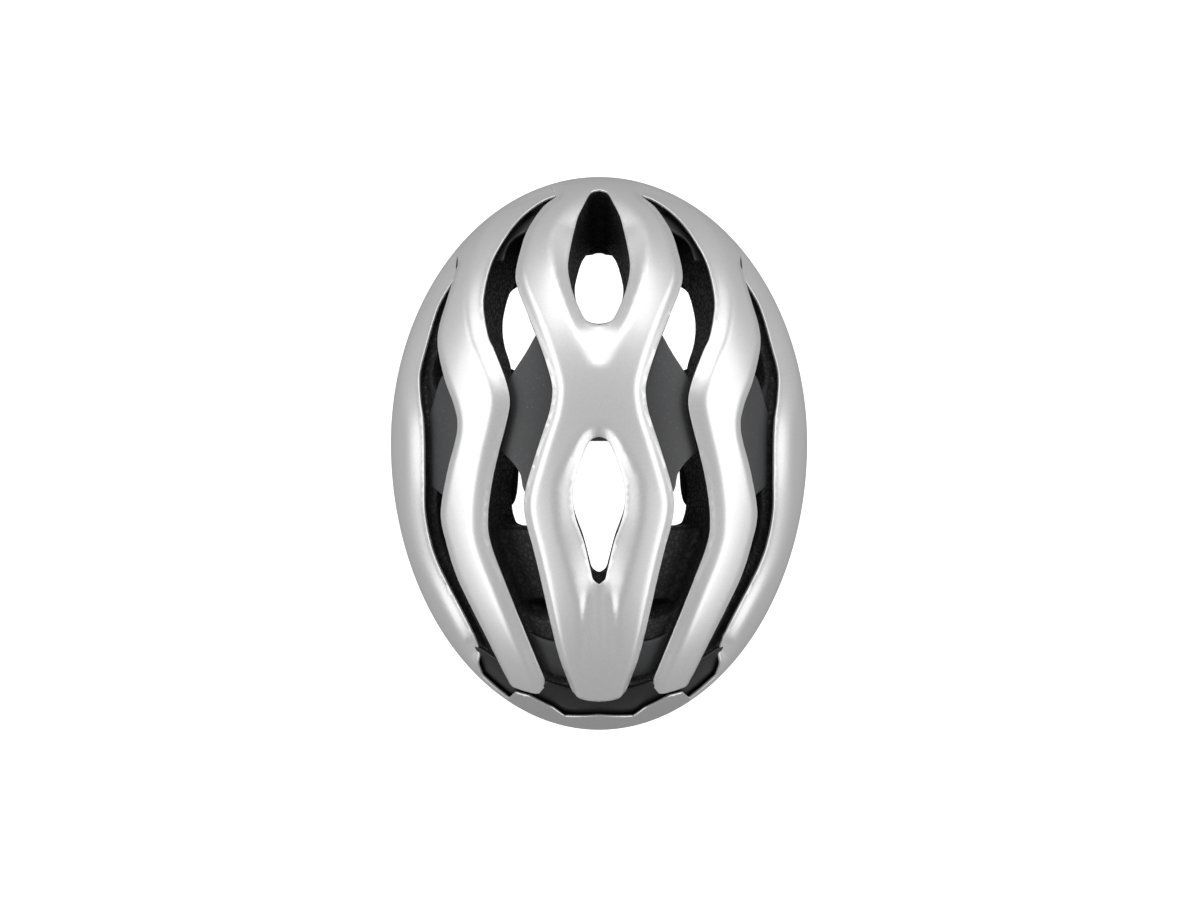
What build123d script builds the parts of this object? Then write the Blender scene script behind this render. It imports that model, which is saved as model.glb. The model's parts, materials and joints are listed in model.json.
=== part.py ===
from build123d import *
import os
from math import sqrt

# Road cycling helmet, size M, in millimetres. +Z is up, the brow faces -Y and +X is the wearer's left.
# The origin is the middle of the head opening, level with the temples, where a head sits.

# Driving dimensions: the outer surface is four quarter ellipsoids that meet at the widest height.
HALF_WIDTH = 107.5
BROW_REACH = 137.5
TAIL_REACH = 148.0
CROWN_RISE = 106.0
KEEL_DEPTH = 92.0
SHELL_Y = -5.0
WIDEST_Z = 42.0

# The head hollow, the same kind of egg.
HEAD_HALF_WIDTH = 82.0
HEAD_FRONT = 106.0
HEAD_REAR = 104.0
HEAD_RISE = 102.0
HEAD_DROP = 400.0
HEAD_Y = -7.0
HEAD_Z = 12.0

SKIN = 1.2            # moulded polycarbonate skins
CHANNEL_DEPTH = 9.0   # how far the bridges sit below the ribs
TAIL_DEPTH = 3.0      # how far the tail panel sits below the ribs
WRAP_HEIGHT = 11.0    # lower wrap, measured up from the rim
FAR = 200.0           # beyond every piece
HIGH = 170.0          # above the crown

# Rim line in side view, (y, z), brow to nape.
RIM = [(-150, 33), (-128, 27), (-100, 16), (-70, 6), (-45, 2), (-15, 4), (15, 12),
       (45, 12), (75, 3), (100, -4), (125, -2), (150, 8)]

# Outlines of the ribs in plan, (x, y) on the outer surface, wearer's left half, brow to tail.
CENTRE_EDGE = [(22.8, -135), (29.4, -129.6), (34.7, -122.3), (38, -116.4), (41.3, -106.5), (43.9, -95.3),
               (43.2, -86), (36, -68.7), (30.5, -55), (27, -45), (24.2, -34), (25.5, -22), (28, -14),
               (33, 1), (38, 17), (39.2, 25), (38.5, 32), (35, 47), (31, 63), (22, 102), (14.2, 124)]
CENTRE_TIP = (0, 127)
MID_INNER = [(23.5, -136), (30, -133.5), (38, -128), (44.5, -121.6), (51, -112.4), (57.5, -100),
             (61, -86), (61.8, -76), (59, -61), (55.5, -53), (49.5, -38), (47.3, -28), (48, -20), (50, -14),
             (57, 17), (59, 33), (57.5, 47), (48.5, 71), (36, 102), (28.4, 122)]
MID_TIP = [(30.7, 123.6), (47.2, 118.7)]
MID_OUTER = [(59, 94), (74, 63), (79, 47), (82, 31), (78.5, 10), (73.3, -12), (74.5, -23), (80, -38),
             (84, -56), (79, -80), (73.8, -98)]
BROW_PARTING = [(73.8, -98), (67, -111), (60.4, -119.6)]
SIDE_INNER = [(73.8, -98), (78, -91), (86.5, -76), (92.5, -55), (96, -40), (93.3, -13), (92.9, 15),
              (90, 46), (85, 60), (72.5, 84), (66.3, 98), (63.7, 103.6), (60.4, 114.7)]
TAIL_UPPER = [(0, 126.4), (14, 123.4), (27, 119.8), (30.7, 123), (47.2, 118.2), (52.5, 109.8), (61, 104.2),
              (63.6, 103.8)]
REAR_UPPER = [(0, 135), (18, 135.4), (24, 131), (36, 124.6), (43, 123)]
REAR_CORNER = (46.5, 126)
FRONT_VENT = [(5.5, -134), (12, -123), (15.5, -108), (16.8, -97), (14.5, -85), (8, -70), (4.5, -67)]
REAR_VENT = [(4, -7), (7.5, -3), (13.8, 17), (13.8, 25), (7.5, 52), (4, 64), (1.5, 67.5)]
BROW_JOIN_X = 24.0    # centre shell to mid shell on the brow
BROW_SIDE_X = 51.0    # mid shell to side shell on the brow
REAR_SIDE_X = 46.5    # rear shell to side shell at the nape
PARTING_Z = 40.0      # above this the shells part along the ribs, below it along upright planes

# Fit band. It is drawn level, with its pivot on the X axis, and then tipped down towards the nape.
BAND_TILT = 20.0
BAND_Y, BAND_Z = -45.0, 18.0
ARM_X, ARM_THICK, ARM_HALF_HEIGHT, ARM_END = 72.8, 1.6, 5.0, 60.0
WING_X, WING_THICK, WING_HALF_HEIGHT = 74.9, 2.0, 7.0
WING_START, WING_STRAIGHT = 30.0, 72.0
PIN_RADIUS, SOCKET_RADIUS, FLANGE_RADIUS, SOCKET_DEPTH = 2.5, 5.0, 8.5, 13.0
HOUSING_Y, HOUSING_DEPTH, HOUSING_HALF_WIDTH, HOUSING_HALF_HEIGHT = 132.0, 12.0, 36.0, 12.0
WALL = 1.6
DIAL_RADIUS, DIAL_DEPTH, AXLE_RADIUS = 15.0, 9.0, 2.0
PINION_RADIUS, RACK_HALF_LENGTH, RACK_TRAVEL = 4.0, 22.0, 10.0
RUNNING_GAP = 0.08     # round the shafts
DIAL_GAP = 0.3

# Webbing, its anchors in the liner, dividers and buckle, (x, y, z) on the wearer's left.
WEB_WIDTH, WEB_THICK = 15.0, 1.2
FRONT_ANCHOR, REAR_ANCHOR = (85.0, -40.0, 1.5), (85.0, 34.0, 11.0)
FRONT_ANCHOR_LENGTH, REAR_ANCHOR_LENGTH = 26.0, 30.0
ANCHOR_WIDTH, ANCHOR_HEIGHT = 7.0, 10.0
DIVIDER = (81.0, -18.0, -50.0)
DIVIDER_SIZE = (7.0, 28.0, 20.0)
LEVER_THICK, LEVER_HEIGHT, LEVER_GAP, LEVER_PIVOT = 2.4, 15.0, 0.6, 1.8
JAW_BEND, JAW_RUN = 20.0, 72.0
BUCKLE_HALF_WIDTH, FEMALE_LENGTH, MALE_LENGTH = 13.4, 29.0, 23.0
PRONG_TIP, PRONG_PIVOT = 12.0, 31.0
KEEPER_PLACE = 22.0

BAND = Location((0, BAND_Y, BAND_Z), (-BAND_TILT, 0, 0))
JAW_START = (DIVIDER[0] - JAW_BEND * (1 - sqrt(0.5)), DIVIDER[1], -62.0 - JAW_BEND * sqrt(0.5))
BUCKLE = Plane(origin=JAW_START, x_dir=(-1, 0, -1), z_dir=(1, 0, -1))

os.makedirs("parts", exist_ok=True)


def save(part, name):
    """Label a finished piece and write it, alone in its own file."""
    part.label = name
    export_step(part, f"parts/{name}.step")


def save_pair(part, name):
    """Write a left-hand piece and its mirror image."""
    save(part, f"{name}_left")
    save(mirror(part, about=Plane.YZ), f"{name}_right")


def save_twins(part, name):
    """Write two identical small pieces, one on each side, as one node."""
    save(part + mirror(part, about=Plane.YZ), name)


def egg(inset=0.0, half_width=HALF_WIDTH, front=BROW_REACH, rear=TAIL_REACH, rise=CROWN_RISE,
        drop=KEEL_DEPTH, y=SHELL_Y, z=WIDEST_Z):
    """Solid of four quarter ellipsoids with common tangents, every semi-axis reduced by inset."""
    with BuildPart() as solid:
        for length, turn in ((rear, 0), (front, 180)):
            for height, low, high in ((rise, 0, 90), (drop, -90, 0)):
                quarter = Sphere(1, arc_size1=low, arc_size2=high, arc_size3=180,
                                 align=None, mode=Mode.PRIVATE)
                quarter = quarter.rotate(Axis.Z, turn)
                sizes = (half_width - inset, length - inset, height - inset)
                add(scale(quarter, by=sizes, mode=Mode.PRIVATE).moved(Location((0, y, z))))
    return solid.part


def head_egg(inset=0.0):
    """The head hollow, shrunk by inset. Below its widest height it runs almost straight down."""
    return egg(inset, HEAD_HALF_WIDTH, HEAD_FRONT, HEAD_REAR, HEAD_RISE, HEAD_DROP, HEAD_Y, HEAD_Z)


def on_surface(point):
    """The point on the outer surface over a plan point, or the point itself where it has a height."""
    if len(point) == 3:
        return point
    x, y = point
    length = TAIL_REACH if y > SHELL_Y else BROW_REACH
    left = 1 - (x / HALF_WIDTH) ** 2 - ((y - SHELL_Y) / length) ** 2
    return (x, y, WIDEST_Z + CROWN_RISE * sqrt(max(left, 0)))


def sight_cone(outline, focus=(0, -5, 0), low=25.0, high=HIGH):
    """Cone of lines from a focus through a closed outline on the outer surface, between two heights."""
    def at_height(point, level):
        place = on_surface(point)
        share = (level - focus[2]) / (place[2] - focus[2])
        return tuple(focus[i] + (place[i] - focus[i]) * share for i in range(2))

    with BuildPart() as solid:
        for level in (low, high):
            with BuildSketch(Plane.XY.offset(level)):
                with BuildLine():
                    Polyline(*[at_height(point, level) for point in outline], close=True)
                make_face()
        loft(ruled=True)
    return solid.part


def both_sides(half):
    """A closed outline from its left half."""
    return [point for point in half] + [(-point[0], *point[1:]) for point in reversed(half) if point[0] > 0]


def block(x, y, z):
    """Box between two values on each axis."""
    with BuildPart() as solid:
        with Locations(((x[0] + x[1]) / 2, (y[0] + y[1]) / 2, (z[0] + z[1]) / 2)):
            Box(x[1] - x[0], y[1] - y[0], z[1] - z[0])
    return solid.part


def above_rim(lift):
    """Everything above the rim line raised by lift."""
    with BuildPart() as solid:
        with BuildSketch(Plane.YZ):
            with BuildLine():
                edge = Spline(*[(y, z + lift) for y, z in RIM])
                Polyline(edge @ 1, (RIM[-1][0], FAR), (RIM[0][0], FAR), edge @ 0)
            make_face()
        extrude(amount=HALF_WIDTH + 10, both=True)
    return solid.part


def in_band(part):
    """Place a piece of the fit band, drawn level, at its real slope."""
    return part.moved(BAND)


# Blanks that many pieces are cut from
outer = egg()
under_skin = egg(SKIN)
head = head_egg()
trimmed = above_rim(0)
above_wrap = above_rim(WRAP_HEIGHT)
blank = outer & above_wrap
upper_half = block((-FAR, FAR), (-FAR, FAR), (PARTING_Z, FAR))
left_flank = block((30, FAR), (-FAR, FAR), (-FAR, FAR))

centre_outline = both_sides([(0, -160, WIDEST_Z), (BROW_JOIN_X, -160, WIDEST_Z),
                             (BROW_JOIN_X, -139, WIDEST_Z)] + CENTRE_EDGE + [CENTRE_TIP])
mid_outline = ([(BROW_JOIN_X, -139, WIDEST_Z)] + MID_INNER + MID_TIP + MID_OUTER + BROW_PARTING[1:]
               + [(BROW_SIDE_X, -126.7, WIDEST_Z), (60, -160, WIDEST_Z), (BROW_JOIN_X, -160, WIDEST_Z)])
inside_sides = both_sides([(0, -160, WIDEST_Z), (60, -160, WIDEST_Z), (BROW_SIDE_X, -126.7, WIDEST_Z)]
                          + BROW_PARTING[:0:-1] + SIDE_INNER
                          + [(REAR_SIDE_X, 127.2), (60, 160, WIDEST_Z), (0, 160, WIDEST_Z)])
channel_inner = CENTRE_EDGE + [(16.2, 122.7), (27, 119.8)] + MID_INNER[:0:-1]
channel_outer = MID_OUTER[::-1] + [(52.5, 109.8), (61, 104.2)] + SIDE_INNER[-3:0:-1]
tail_outline = both_sides(TAIL_UPPER + [(60.4, 114.7), (REAR_SIDE_X, 127.2), (43, 123), (36, 124.6),
                                        (24, 131), (18, 135.4), (0, 135)])
rear_outline = both_sides(REAR_UPPER + [(REAR_SIDE_X, 127.2), (60, 160, WIDEST_Z), (0, 160, WIDEST_Z)])

# Vents that go right through, each narrowing towards its own focus
front_vent = sight_cone(both_sides(FRONT_VENT), focus=(0, -45, -10), low=20)
rear_vent = sight_cone(both_sides(REAR_VENT), focus=(0, 20, -150), low=20)
crown_slot = sight_cone([(30.5, -60), (36, -68.7), (43.2, -86), (43.9, -95.3), (41.3, -106), (56, -104),
                         (60, -90), (60.5, -76), (58.5, -62), (54.5, -53), (47, -34)],
                        focus=(0, -20, -60), low=20)
rear_slot = sight_cone([(38, 17), (39.2, 25), (38.5, 32), (35, 47), (31, 63), (24.5, 91), (38.5, 89),
                        (48.5, 71), (57, 47), (58.5, 33), (56, 12), (49, 0)], focus=(0, -5, 14), low=20)
front_side_slot = sight_cone([(74.5, -95), (80, -78), (84, -60), (80, -38), (88, -24), (95, -36), (92, -55),
                              (86, -76)], focus=(0, -30, 25), low=30)
rear_side_slot = sight_cone([(81, 20), (81.5, 31), (79, 47), (74, 63), (66, 79), (72.5, 83), (84.5, 60),
                             (89.5, 46), (90, 14)], focus=(0, 0, 25), low=30)

# Foam liner: the egg less the head, with channels between the ribs, vents, sockets and pockets
inner_channel = sight_cone(channel_inner, low=30)
outer_channel = sight_cone(channel_outer, low=30)
channel_floor = egg(CHANNEL_DEPTH + SKIN)
tail_space = sight_cone(tail_outline, low=35)
tail_floor = egg(TAIL_DEPTH + SKIN)


def foam_liner():
    liner = (under_skin - head) & trimmed
    inner_cut = inner_channel - channel_floor
    outer_cut = outer_channel - channel_floor
    for cutter in (inner_cut, outer_cut, crown_slot, rear_slot, front_side_slot, rear_side_slot):
        liner = liner - cutter - mirror(cutter, about=Plane.YZ)
    liner = liner - (tail_space - tail_floor) - front_vent - rear_vent
    with BuildPart() as pockets:
        for (x, y, z), length in ((FRONT_ANCHOR, FRONT_ANCHOR_LENGTH), (REAR_ANCHOR, REAR_ANCHOR_LENGTH)):
            with Locations((x, y, z + ANCHOR_HEIGHT + 0.2)):
                Box(ANCHOR_WIDTH + 0.4, length + 0.4, 30, align=(Align.CENTER, Align.CENTER, Align.MAX))
        with Locations(Location((ARM_X + ARM_THICK, BAND_Y, BAND_Z), (0, 90, 0))):
            Cylinder(SOCKET_RADIUS + 0.1, SOCKET_DEPTH, align=(Align.CENTER, Align.CENTER, Align.MIN))
            Cylinder(FLANGE_RADIUS + 0.1, 3.6, align=(Align.CENTER, Align.CENTER, Align.MIN))
    return liner - pockets.part - mirror(pockets.part, about=Plane.YZ)

liner = foam_liner()
save(liner, "foam_liner")

# Shells over the ribs
centre = blank & sight_cone(centre_outline, low=35)
save(centre - under_skin - front_vent - rear_vent, "centre_shell")

brow_side_block = block((BROW_JOIN_X, BROW_SIDE_X), (-FAR, -60), (-FAR, PARTING_Z))
mid = (blank & sight_cone(mid_outline, low=35) & upper_half) + (blank & brow_side_block)
save_pair(mid - under_skin, "mid_shell")

side = (blank & left_flank) - (sight_cone(inside_sides, low=30) & upper_half)
side = side - block((-1, BROW_SIDE_X), (-FAR, 0), (-FAR, PARTING_Z))
side = side - block((-1, REAR_SIDE_X), (0, FAR), (-FAR, PARTING_Z))
save_pair(side - under_skin, "side_shell")

nape_block = block((-REAR_SIDE_X, REAR_SIDE_X), (60, FAR), (-FAR, PARTING_Z))
rear = (blank & sight_cone(rear_outline, low=35) & upper_half) + (blank & nape_block)
save(rear - under_skin, "rear_shell")
save((egg(TAIL_DEPTH) & tail_space) - tail_floor, "tail_panel")
save((outer & trimmed) - above_wrap - under_skin, "lower_wrap")

# Bridges between the ribs, skins at the bottom of the channels
bridge_blank = egg(CHANNEL_DEPTH)
front_bridge = [(20, -134), (36, -121), (44, -113), (52, -101), (62, -100), (56, -122), (38, -134)]
crown_bridge = [(28, -62), (48, -34), (60, -30), (62, 0), (49, 0), (38, 17), (30, 17), (20, 0), (20, -40)]
crown_bridge_side = [(70, -40), (80, -38), (88, -24), (90, 13), (81, 20), (70, 20)]
rear_bridge = [(18, 95), (24.5, 95), (39, 89), (50, 88), (34, 124), (10, 126)]
rear_bridge_side = [(60, 79), (66, 79), (72.5, 84), (74, 90), (62, 112), (45, 112)]
for name, channel, zone in (
    ("front_bridge", inner_channel, front_bridge),
    ("crown_bridge", inner_channel, crown_bridge),
    ("crown_side_bridge", outer_channel, crown_bridge_side),
    ("rear_bridge", inner_channel, rear_bridge),
    ("rear_side_bridge", outer_channel, rear_bridge_side),
):
    panel = (bridge_blank & channel & sight_cone(zone, low=30)) - channel_floor
    for slot in (crown_slot, rear_slot, front_side_slot, rear_side_slot, tail_space):
        panel = panel - slot
    save_pair(panel, name)

# Comfort pads, bonded to the foam inside the hollow
pad_layer = head - head_egg(5)
save(pad_layer & block((-58, 58), (-FAR, -60), (33, 52)), "brow_pad")
save(pad_layer & block((-19, 19), (-60, -13), (80, FAR)), "crown_pad")
save(pad_layer & block((-15, 15), (74, FAR), (40, 90)), "rear_pad")
save_pair(pad_layer & block((40, 72), (-45, 30), (62, 110)), "side_pad")

# Temple anchors and pins
with BuildPart() as temple_anchor:
    with Locations(Location((ARM_X + 1.7, BAND_Y, BAND_Z), (0, 90, 0))):
        Cylinder(SOCKET_RADIUS, SOCKET_DEPTH - 1.2, align=(Align.CENTER, Align.CENTER, Align.MIN))
        Cylinder(FLANGE_RADIUS, 3.2, align=(Align.CENTER, Align.CENTER, Align.MIN))
        Cylinder(PIN_RADIUS + RUNNING_GAP, 30, mode=Mode.SUBTRACT)
save_twins(temple_anchor.part, "temple_anchors")

with BuildPart() as temple_pin:
    with Locations(Location((ARM_X + ARM_THICK / 2, BAND_Y, BAND_Z), (0, 90, 0))):
        Cylinder(PIN_RADIUS, 11, align=(Align.CENTER, Align.CENTER, Align.MIN))
    with Locations(Location((ARM_X - ARM_THICK / 2, BAND_Y, BAND_Z), (0, -90, 0))):
        Cylinder(4.5, 1.4, align=(Align.CENTER, Align.CENTER, Align.MIN))
        fillet(temple_pin.faces().sort_by(Axis.X)[0].edges(), 0.8)
    with Locations(Location((ARM_X, BAND_Y, BAND_Z), (0, 90, 0))):
        Cylinder(PIN_RADIUS, ARM_THICK)
save_twins(temple_pin.part, "temple_pins")

# Side arms, flat straps that slide inside the wings of the cradle
with BuildPart() as arm:
    with BuildSketch(Plane.YZ.offset(ARM_X - ARM_THICK / 2)):
        Circle(8)
        with Locations((ARM_END / 2, 0)):
            Rectangle(ARM_END, 2 * ARM_HALF_HEIGHT)
        with Locations((ARM_END, 0)):
            Circle(ARM_HALF_HEIGHT)
        Circle(PIN_RADIUS, mode=Mode.SUBTRACT)
        with GridLocations(7, 0, 6, 1):
            with Locations((34, 0)):
                SlotOverall(4.4, 1.8, rotation=90, mode=Mode.SUBTRACT)
    extrude(amount=ARM_THICK)
save_pair(in_band(arm.part), "side_arm")

# Cradle: wings, housing shell and two lobes that cup the nape
def nape_plane(y):
    """Upright plane that faces the tail, in the frame of the level band."""
    return Plane(origin=(0, y, 0), x_dir=(1, 0, 0), z_dir=(0, 1, 0))


with BuildPart() as cradle:
    with BuildLine(Plane.XY) as wing_line:
        Line((WING_X, WING_START), (WING_X, WING_STRAIGHT))
        Spline((WING_X, WING_STRAIGHT), (70, 92), (57, 113), (HOUSING_HALF_WIDTH - 3, HOUSING_Y + 5),
               tangents=((0, 1), (-1, 0.62)))
    with BuildSketch(Plane(origin=(WING_X, WING_START, 0), x_dir=(1, 0, 0), z_dir=(0, 1, 0))):
        RectangleRounded(WING_THICK, 2 * WING_HALF_HEIGHT, 0.6)
    sweep(path=wing_line.wires()[0])
    mirror(about=Plane.YZ)
    with BuildSketch(nape_plane(HOUSING_Y)):
        RectangleRounded(2 * HOUSING_HALF_WIDTH, 2 * HOUSING_HALF_HEIGHT, 7)
    extrude(amount=HOUSING_DEPTH)
    with BuildSketch(nape_plane(HOUSING_Y)):
        with Locations((-20, HOUSING_HALF_HEIGHT + 8), (20, HOUSING_HALF_HEIGHT + 8)):
            RectangleRounded(18, 26, 7)
    extrude(amount=2.6)
    with BuildSketch(nape_plane(HOUSING_Y - 0.1)):
        RectangleRounded(2 * (HOUSING_HALF_WIDTH - WALL), 2 * (HOUSING_HALF_HEIGHT - WALL), 5.5)
    extrude(amount=HOUSING_DEPTH - WALL, mode=Mode.SUBTRACT)
    with Locations(Location((0, HOUSING_Y, 0), (-90, 0, 0))):
        Cylinder(AXLE_RADIUS + RUNNING_GAP, 60, mode=Mode.SUBTRACT)
save(in_band(cradle.part), "cradle_frame")

with BuildPart() as cover:
    with BuildSketch(nape_plane(HOUSING_Y)):
        RectangleRounded(2 * (HOUSING_HALF_WIDTH - WALL - 0.1), 2 * (HOUSING_HALF_HEIGHT - WALL - 0.1), 5.4)
        Circle(AXLE_RADIUS + RUNNING_GAP, mode=Mode.SUBTRACT)
    extrude(amount=1.6)
save(in_band(cover.part), "housing_cover")

# Two racks and the pinion between them, in the housing
RACK_Y = HOUSING_Y + 3.0
for sign, name in ((1, "rack_left"), (-1, "rack_right")):
    with BuildPart() as rack:
        with Locations((sign * RACK_TRAVEL / 2, RACK_Y + 1.5, sign * (PINION_RADIUS + 2.4))):
            Box(2 * RACK_HALF_LENGTH, 3, 4)
        fillet(rack.edges().filter_by(Axis.Y), 0.6)
    save(in_band(rack.part), name)

with BuildPart() as pinion:
    with BuildSketch(nape_plane(RACK_Y)):
        Circle(PINION_RADIUS)
        Circle(AXLE_RADIUS, mode=Mode.SUBTRACT)
    extrude(amount=5)
save(in_band(pinion.part), "pinion")

DIAL_Y = HOUSING_Y + HOUSING_DEPTH + DIAL_GAP
with BuildPart() as knob:
    with BuildSketch(nape_plane(DIAL_Y)):
        Circle(DIAL_RADIUS - 2)
    extrude(amount=DIAL_DEPTH)
    fillet(knob.edges().sort_by(Axis.Y)[-1], 1.2)
    with BuildSketch(nape_plane(DIAL_Y + DIAL_DEPTH)):
        Circle(4)
    extrude(amount=-2, mode=Mode.SUBTRACT)
    with BuildSketch(nape_plane(DIAL_Y)):
        Circle(AXLE_RADIUS)
    extrude(amount=DIAL_DEPTH, mode=Mode.SUBTRACT)
save(in_band(knob.part), "dial_knob")

with BuildPart() as grip:
    with BuildSketch(nape_plane(DIAL_Y + 0.6)):
        Circle(DIAL_RADIUS)
        with PolarLocations(DIAL_RADIUS + 1.0, 18):
            Circle(1.8, mode=Mode.SUBTRACT)
        Circle(DIAL_RADIUS - 2, mode=Mode.SUBTRACT)
    extrude(amount=DIAL_DEPTH - 1.8)
save(in_band(grip.part), "dial_grip")

with BuildPart() as axle:
    with BuildSketch(nape_plane(HOUSING_Y + 2)):
        Circle(AXLE_RADIUS)
    extrude(amount=DIAL_Y + DIAL_DEPTH - 2 - HOUSING_Y - 2)
    with BuildSketch(nape_plane(DIAL_Y + DIAL_DEPTH - 2)):
        Circle(3.4)
        RegularPolygon(1.3, 6, major_radius=True, mode=Mode.SUBTRACT)
    extrude(amount=1.4)
save(in_band(axle.part), "axle_screw")

with BuildPart() as cradle_pads:
    with BuildSketch(nape_plane(HOUSING_Y)):
        with Locations((-20, HOUSING_HALF_HEIGHT + 8), (20, HOUSING_HALF_HEIGHT + 8)):
            RectangleRounded(16, 22, 6)
    extrude(amount=-3)
save(in_band(cradle_pads.part), "cradle_pads")


# Anchors under the rim, and the four webbing straps that hang from them, their width lying fore and aft
divider_x, divider_y, divider_z = DIVIDER
for name, anchor, length, offset, shift in (("front", FRONT_ANCHOR, FRONT_ANCHOR_LENGTH, -1.0, 0.0),
                                            ("rear", REAR_ANCHOR, REAR_ANCHOR_LENGTH, 1.0, -2.4)):
    anchor_x, anchor_y, anchor_z = anchor
    drop = anchor_z + 8 - divider_z - 4
    lean = (anchor_y - divider_y - shift) / drop
    level_width = WEB_WIDTH * sqrt(1 + lean ** 2)
    with BuildPart() as strap:
        for x, y, z in ((anchor_x, anchor_y + 4 * lean, anchor_z + 8),
                        (divider_x + offset, divider_y + shift, divider_z + 4)):
            with BuildSketch(Plane.XY.offset(z)):
                with Locations((x, y)):
                    Rectangle(WEB_THICK, level_width)
        loft()
    save_pair(strap.part, f"{name}_strap")
    with BuildPart() as plug:
        with Locations((anchor_x, anchor_y, anchor_z + ANCHOR_HEIGHT / 2)):
            Box(ANCHOR_WIDTH, length, ANCHOR_HEIGHT)
        fillet(plug.edges().filter_by(Axis.Z), 2)
        with Locations((anchor_x, anchor_y, anchor_z + ANCHOR_HEIGHT / 2)):
            Box(2.6, length - 3, 30, mode=Mode.SUBTRACT)
    save_twins(plug.part, f"{name}_anchors")

# Strap dividers and their locking levers
lever_x = divider_x + DIVIDER_SIZE[0] / 2
lever_z = divider_z + LEVER_HEIGHT / 2 - 1
LEVER_AXIS = Location((lever_x + LEVER_PIVOT, divider_y, lever_z), (90, 0, 0))
with BuildPart() as divider:
    with Locations(DIVIDER):
        Box(*DIVIDER_SIZE)
    fillet(divider.edges().filter_by(Axis.X), 6)
    with Locations(DIVIDER):
        Box(3.6, 24.4, 40, mode=Mode.SUBTRACT)
    for lug_y in (-11.6, 11.6):
        with Locations((lever_x + 1.4, divider_y + lug_y, lever_z)):
            Box(3.6, 2, 4)
    with Locations(LEVER_AXIS):
        Cylinder(0.8, 26, mode=Mode.SUBTRACT)
save_pair(divider.part, "divider")

with BuildPart() as lever_pin:
    with Locations(LEVER_AXIS):
        Cylinder(0.8, 25)
save_twins(lever_pin.part, "lever_pins")

with BuildPart() as lever:
    with BuildSketch(Plane.YZ.offset(lever_x + LEVER_GAP)):
        with Locations((divider_y, lever_z - LEVER_HEIGHT / 2 + 1.1)):
            RectangleRounded(20, LEVER_HEIGHT, 1.5)
    extrude(amount=LEVER_THICK)
    with Locations(LEVER_AXIS):
        Cylinder(0.8 + RUNNING_GAP, 30, mode=Mode.SUBTRACT)
save_pair(lever.part, "divider_lever")

# Chin strap, in the upright plane through both dividers; s runs along the straight part at the buckle
run_end = (JAW_START[0] - JAW_RUN * sqrt(0.5), JAW_START[2] - JAW_RUN * sqrt(0.5))
chin_bend = run_end[0] * sqrt(2)
chin_middle = (0, run_end[1] + run_end[0])
with BuildPart() as buckle_strap:
    with BuildLine(Plane.XZ) as short_line:
        Line((divider_x, divider_z - 4), (divider_x, -62))
        CenterArc((divider_x - JAW_BEND, -62), JAW_BEND, 0, -45)
        Line((JAW_START[0], JAW_START[2]), (JAW_START[0] - 4 * sqrt(0.5), JAW_START[2] - 4 * sqrt(0.5)))
    with BuildSketch(Plane.XY.offset(divider_z - 4)):
        with Locations((divider_x, 0)):
            Rectangle(WEB_THICK, WEB_WIDTH)
    sweep(path=short_line.wires()[0])
save(buckle_strap.part.moved(Location((0, divider_y, 0))), "buckle_strap")

LOOP_START = 33.0
with BuildPart() as chin_strap:
    with BuildLine(Plane.XZ) as long_line:
        start = (JAW_START[0] - LOOP_START * sqrt(0.5), JAW_START[2] - LOOP_START * sqrt(0.5))
        Line(start, run_end)
        CenterArc(chin_middle, chin_bend, -45, -90)
        Line((-run_end[0], run_end[1]), (-JAW_START[0], JAW_START[2]))
        CenterArc((-divider_x + JAW_BEND, -62), JAW_BEND, 225, -45)
        Line((-divider_x, -62), (-divider_x, divider_z - 4))
    with BuildSketch(Plane(origin=(start[0], 0, start[1]), x_dir=(0, 1, 0), z_dir=(-1, 0, -1))):
        Rectangle(WEB_WIDTH, WEB_THICK)
    sweep(path=long_line.wires()[0])
save(chin_strap.part.moved(Location((0, divider_y, 0))), "chin_strap")


# Side-release buckle, drawn flat: x runs from the socket to the plug, y across it, z away from the jaw
def at_buckle(part):
    """Place a piece of the buckle, drawn flat, on the jaw line."""
    return part.moved(BUCKLE.location)


with BuildPart() as socket:
    with Locations((FEMALE_LENGTH / 2, 0, 0)):
        Box(FEMALE_LENGTH, 2 * BUCKLE_HALF_WIDTH, 9)
    fillet(socket.edges().filter_by(Axis.Z).sort_by(Axis.X)[:2], 5)
    fillet(socket.edges().filter_by(Axis.Y), 1.2)
    with Locations((4, 0, 0)):
        Box(20, WEB_WIDTH + 1, 2.4, mode=Mode.SUBTRACT)
    with Locations((4.6, 0, 0)):
        Box(3.4, WEB_WIDTH + 1, 20, mode=Mode.SUBTRACT)
    with Locations((9 + FEMALE_LENGTH / 2, 0, 0)):
        Box(FEMALE_LENGTH, 23.8, 5.4, mode=Mode.SUBTRACT)
    for side_y in (-BUCKLE_HALF_WIDTH, BUCKLE_HALF_WIDTH):
        with Locations((16, side_y, 0)):
            Box(10, 4, 5.4, mode=Mode.SUBTRACT)
save(at_buckle(socket.part), "buckle_socket")

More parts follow.
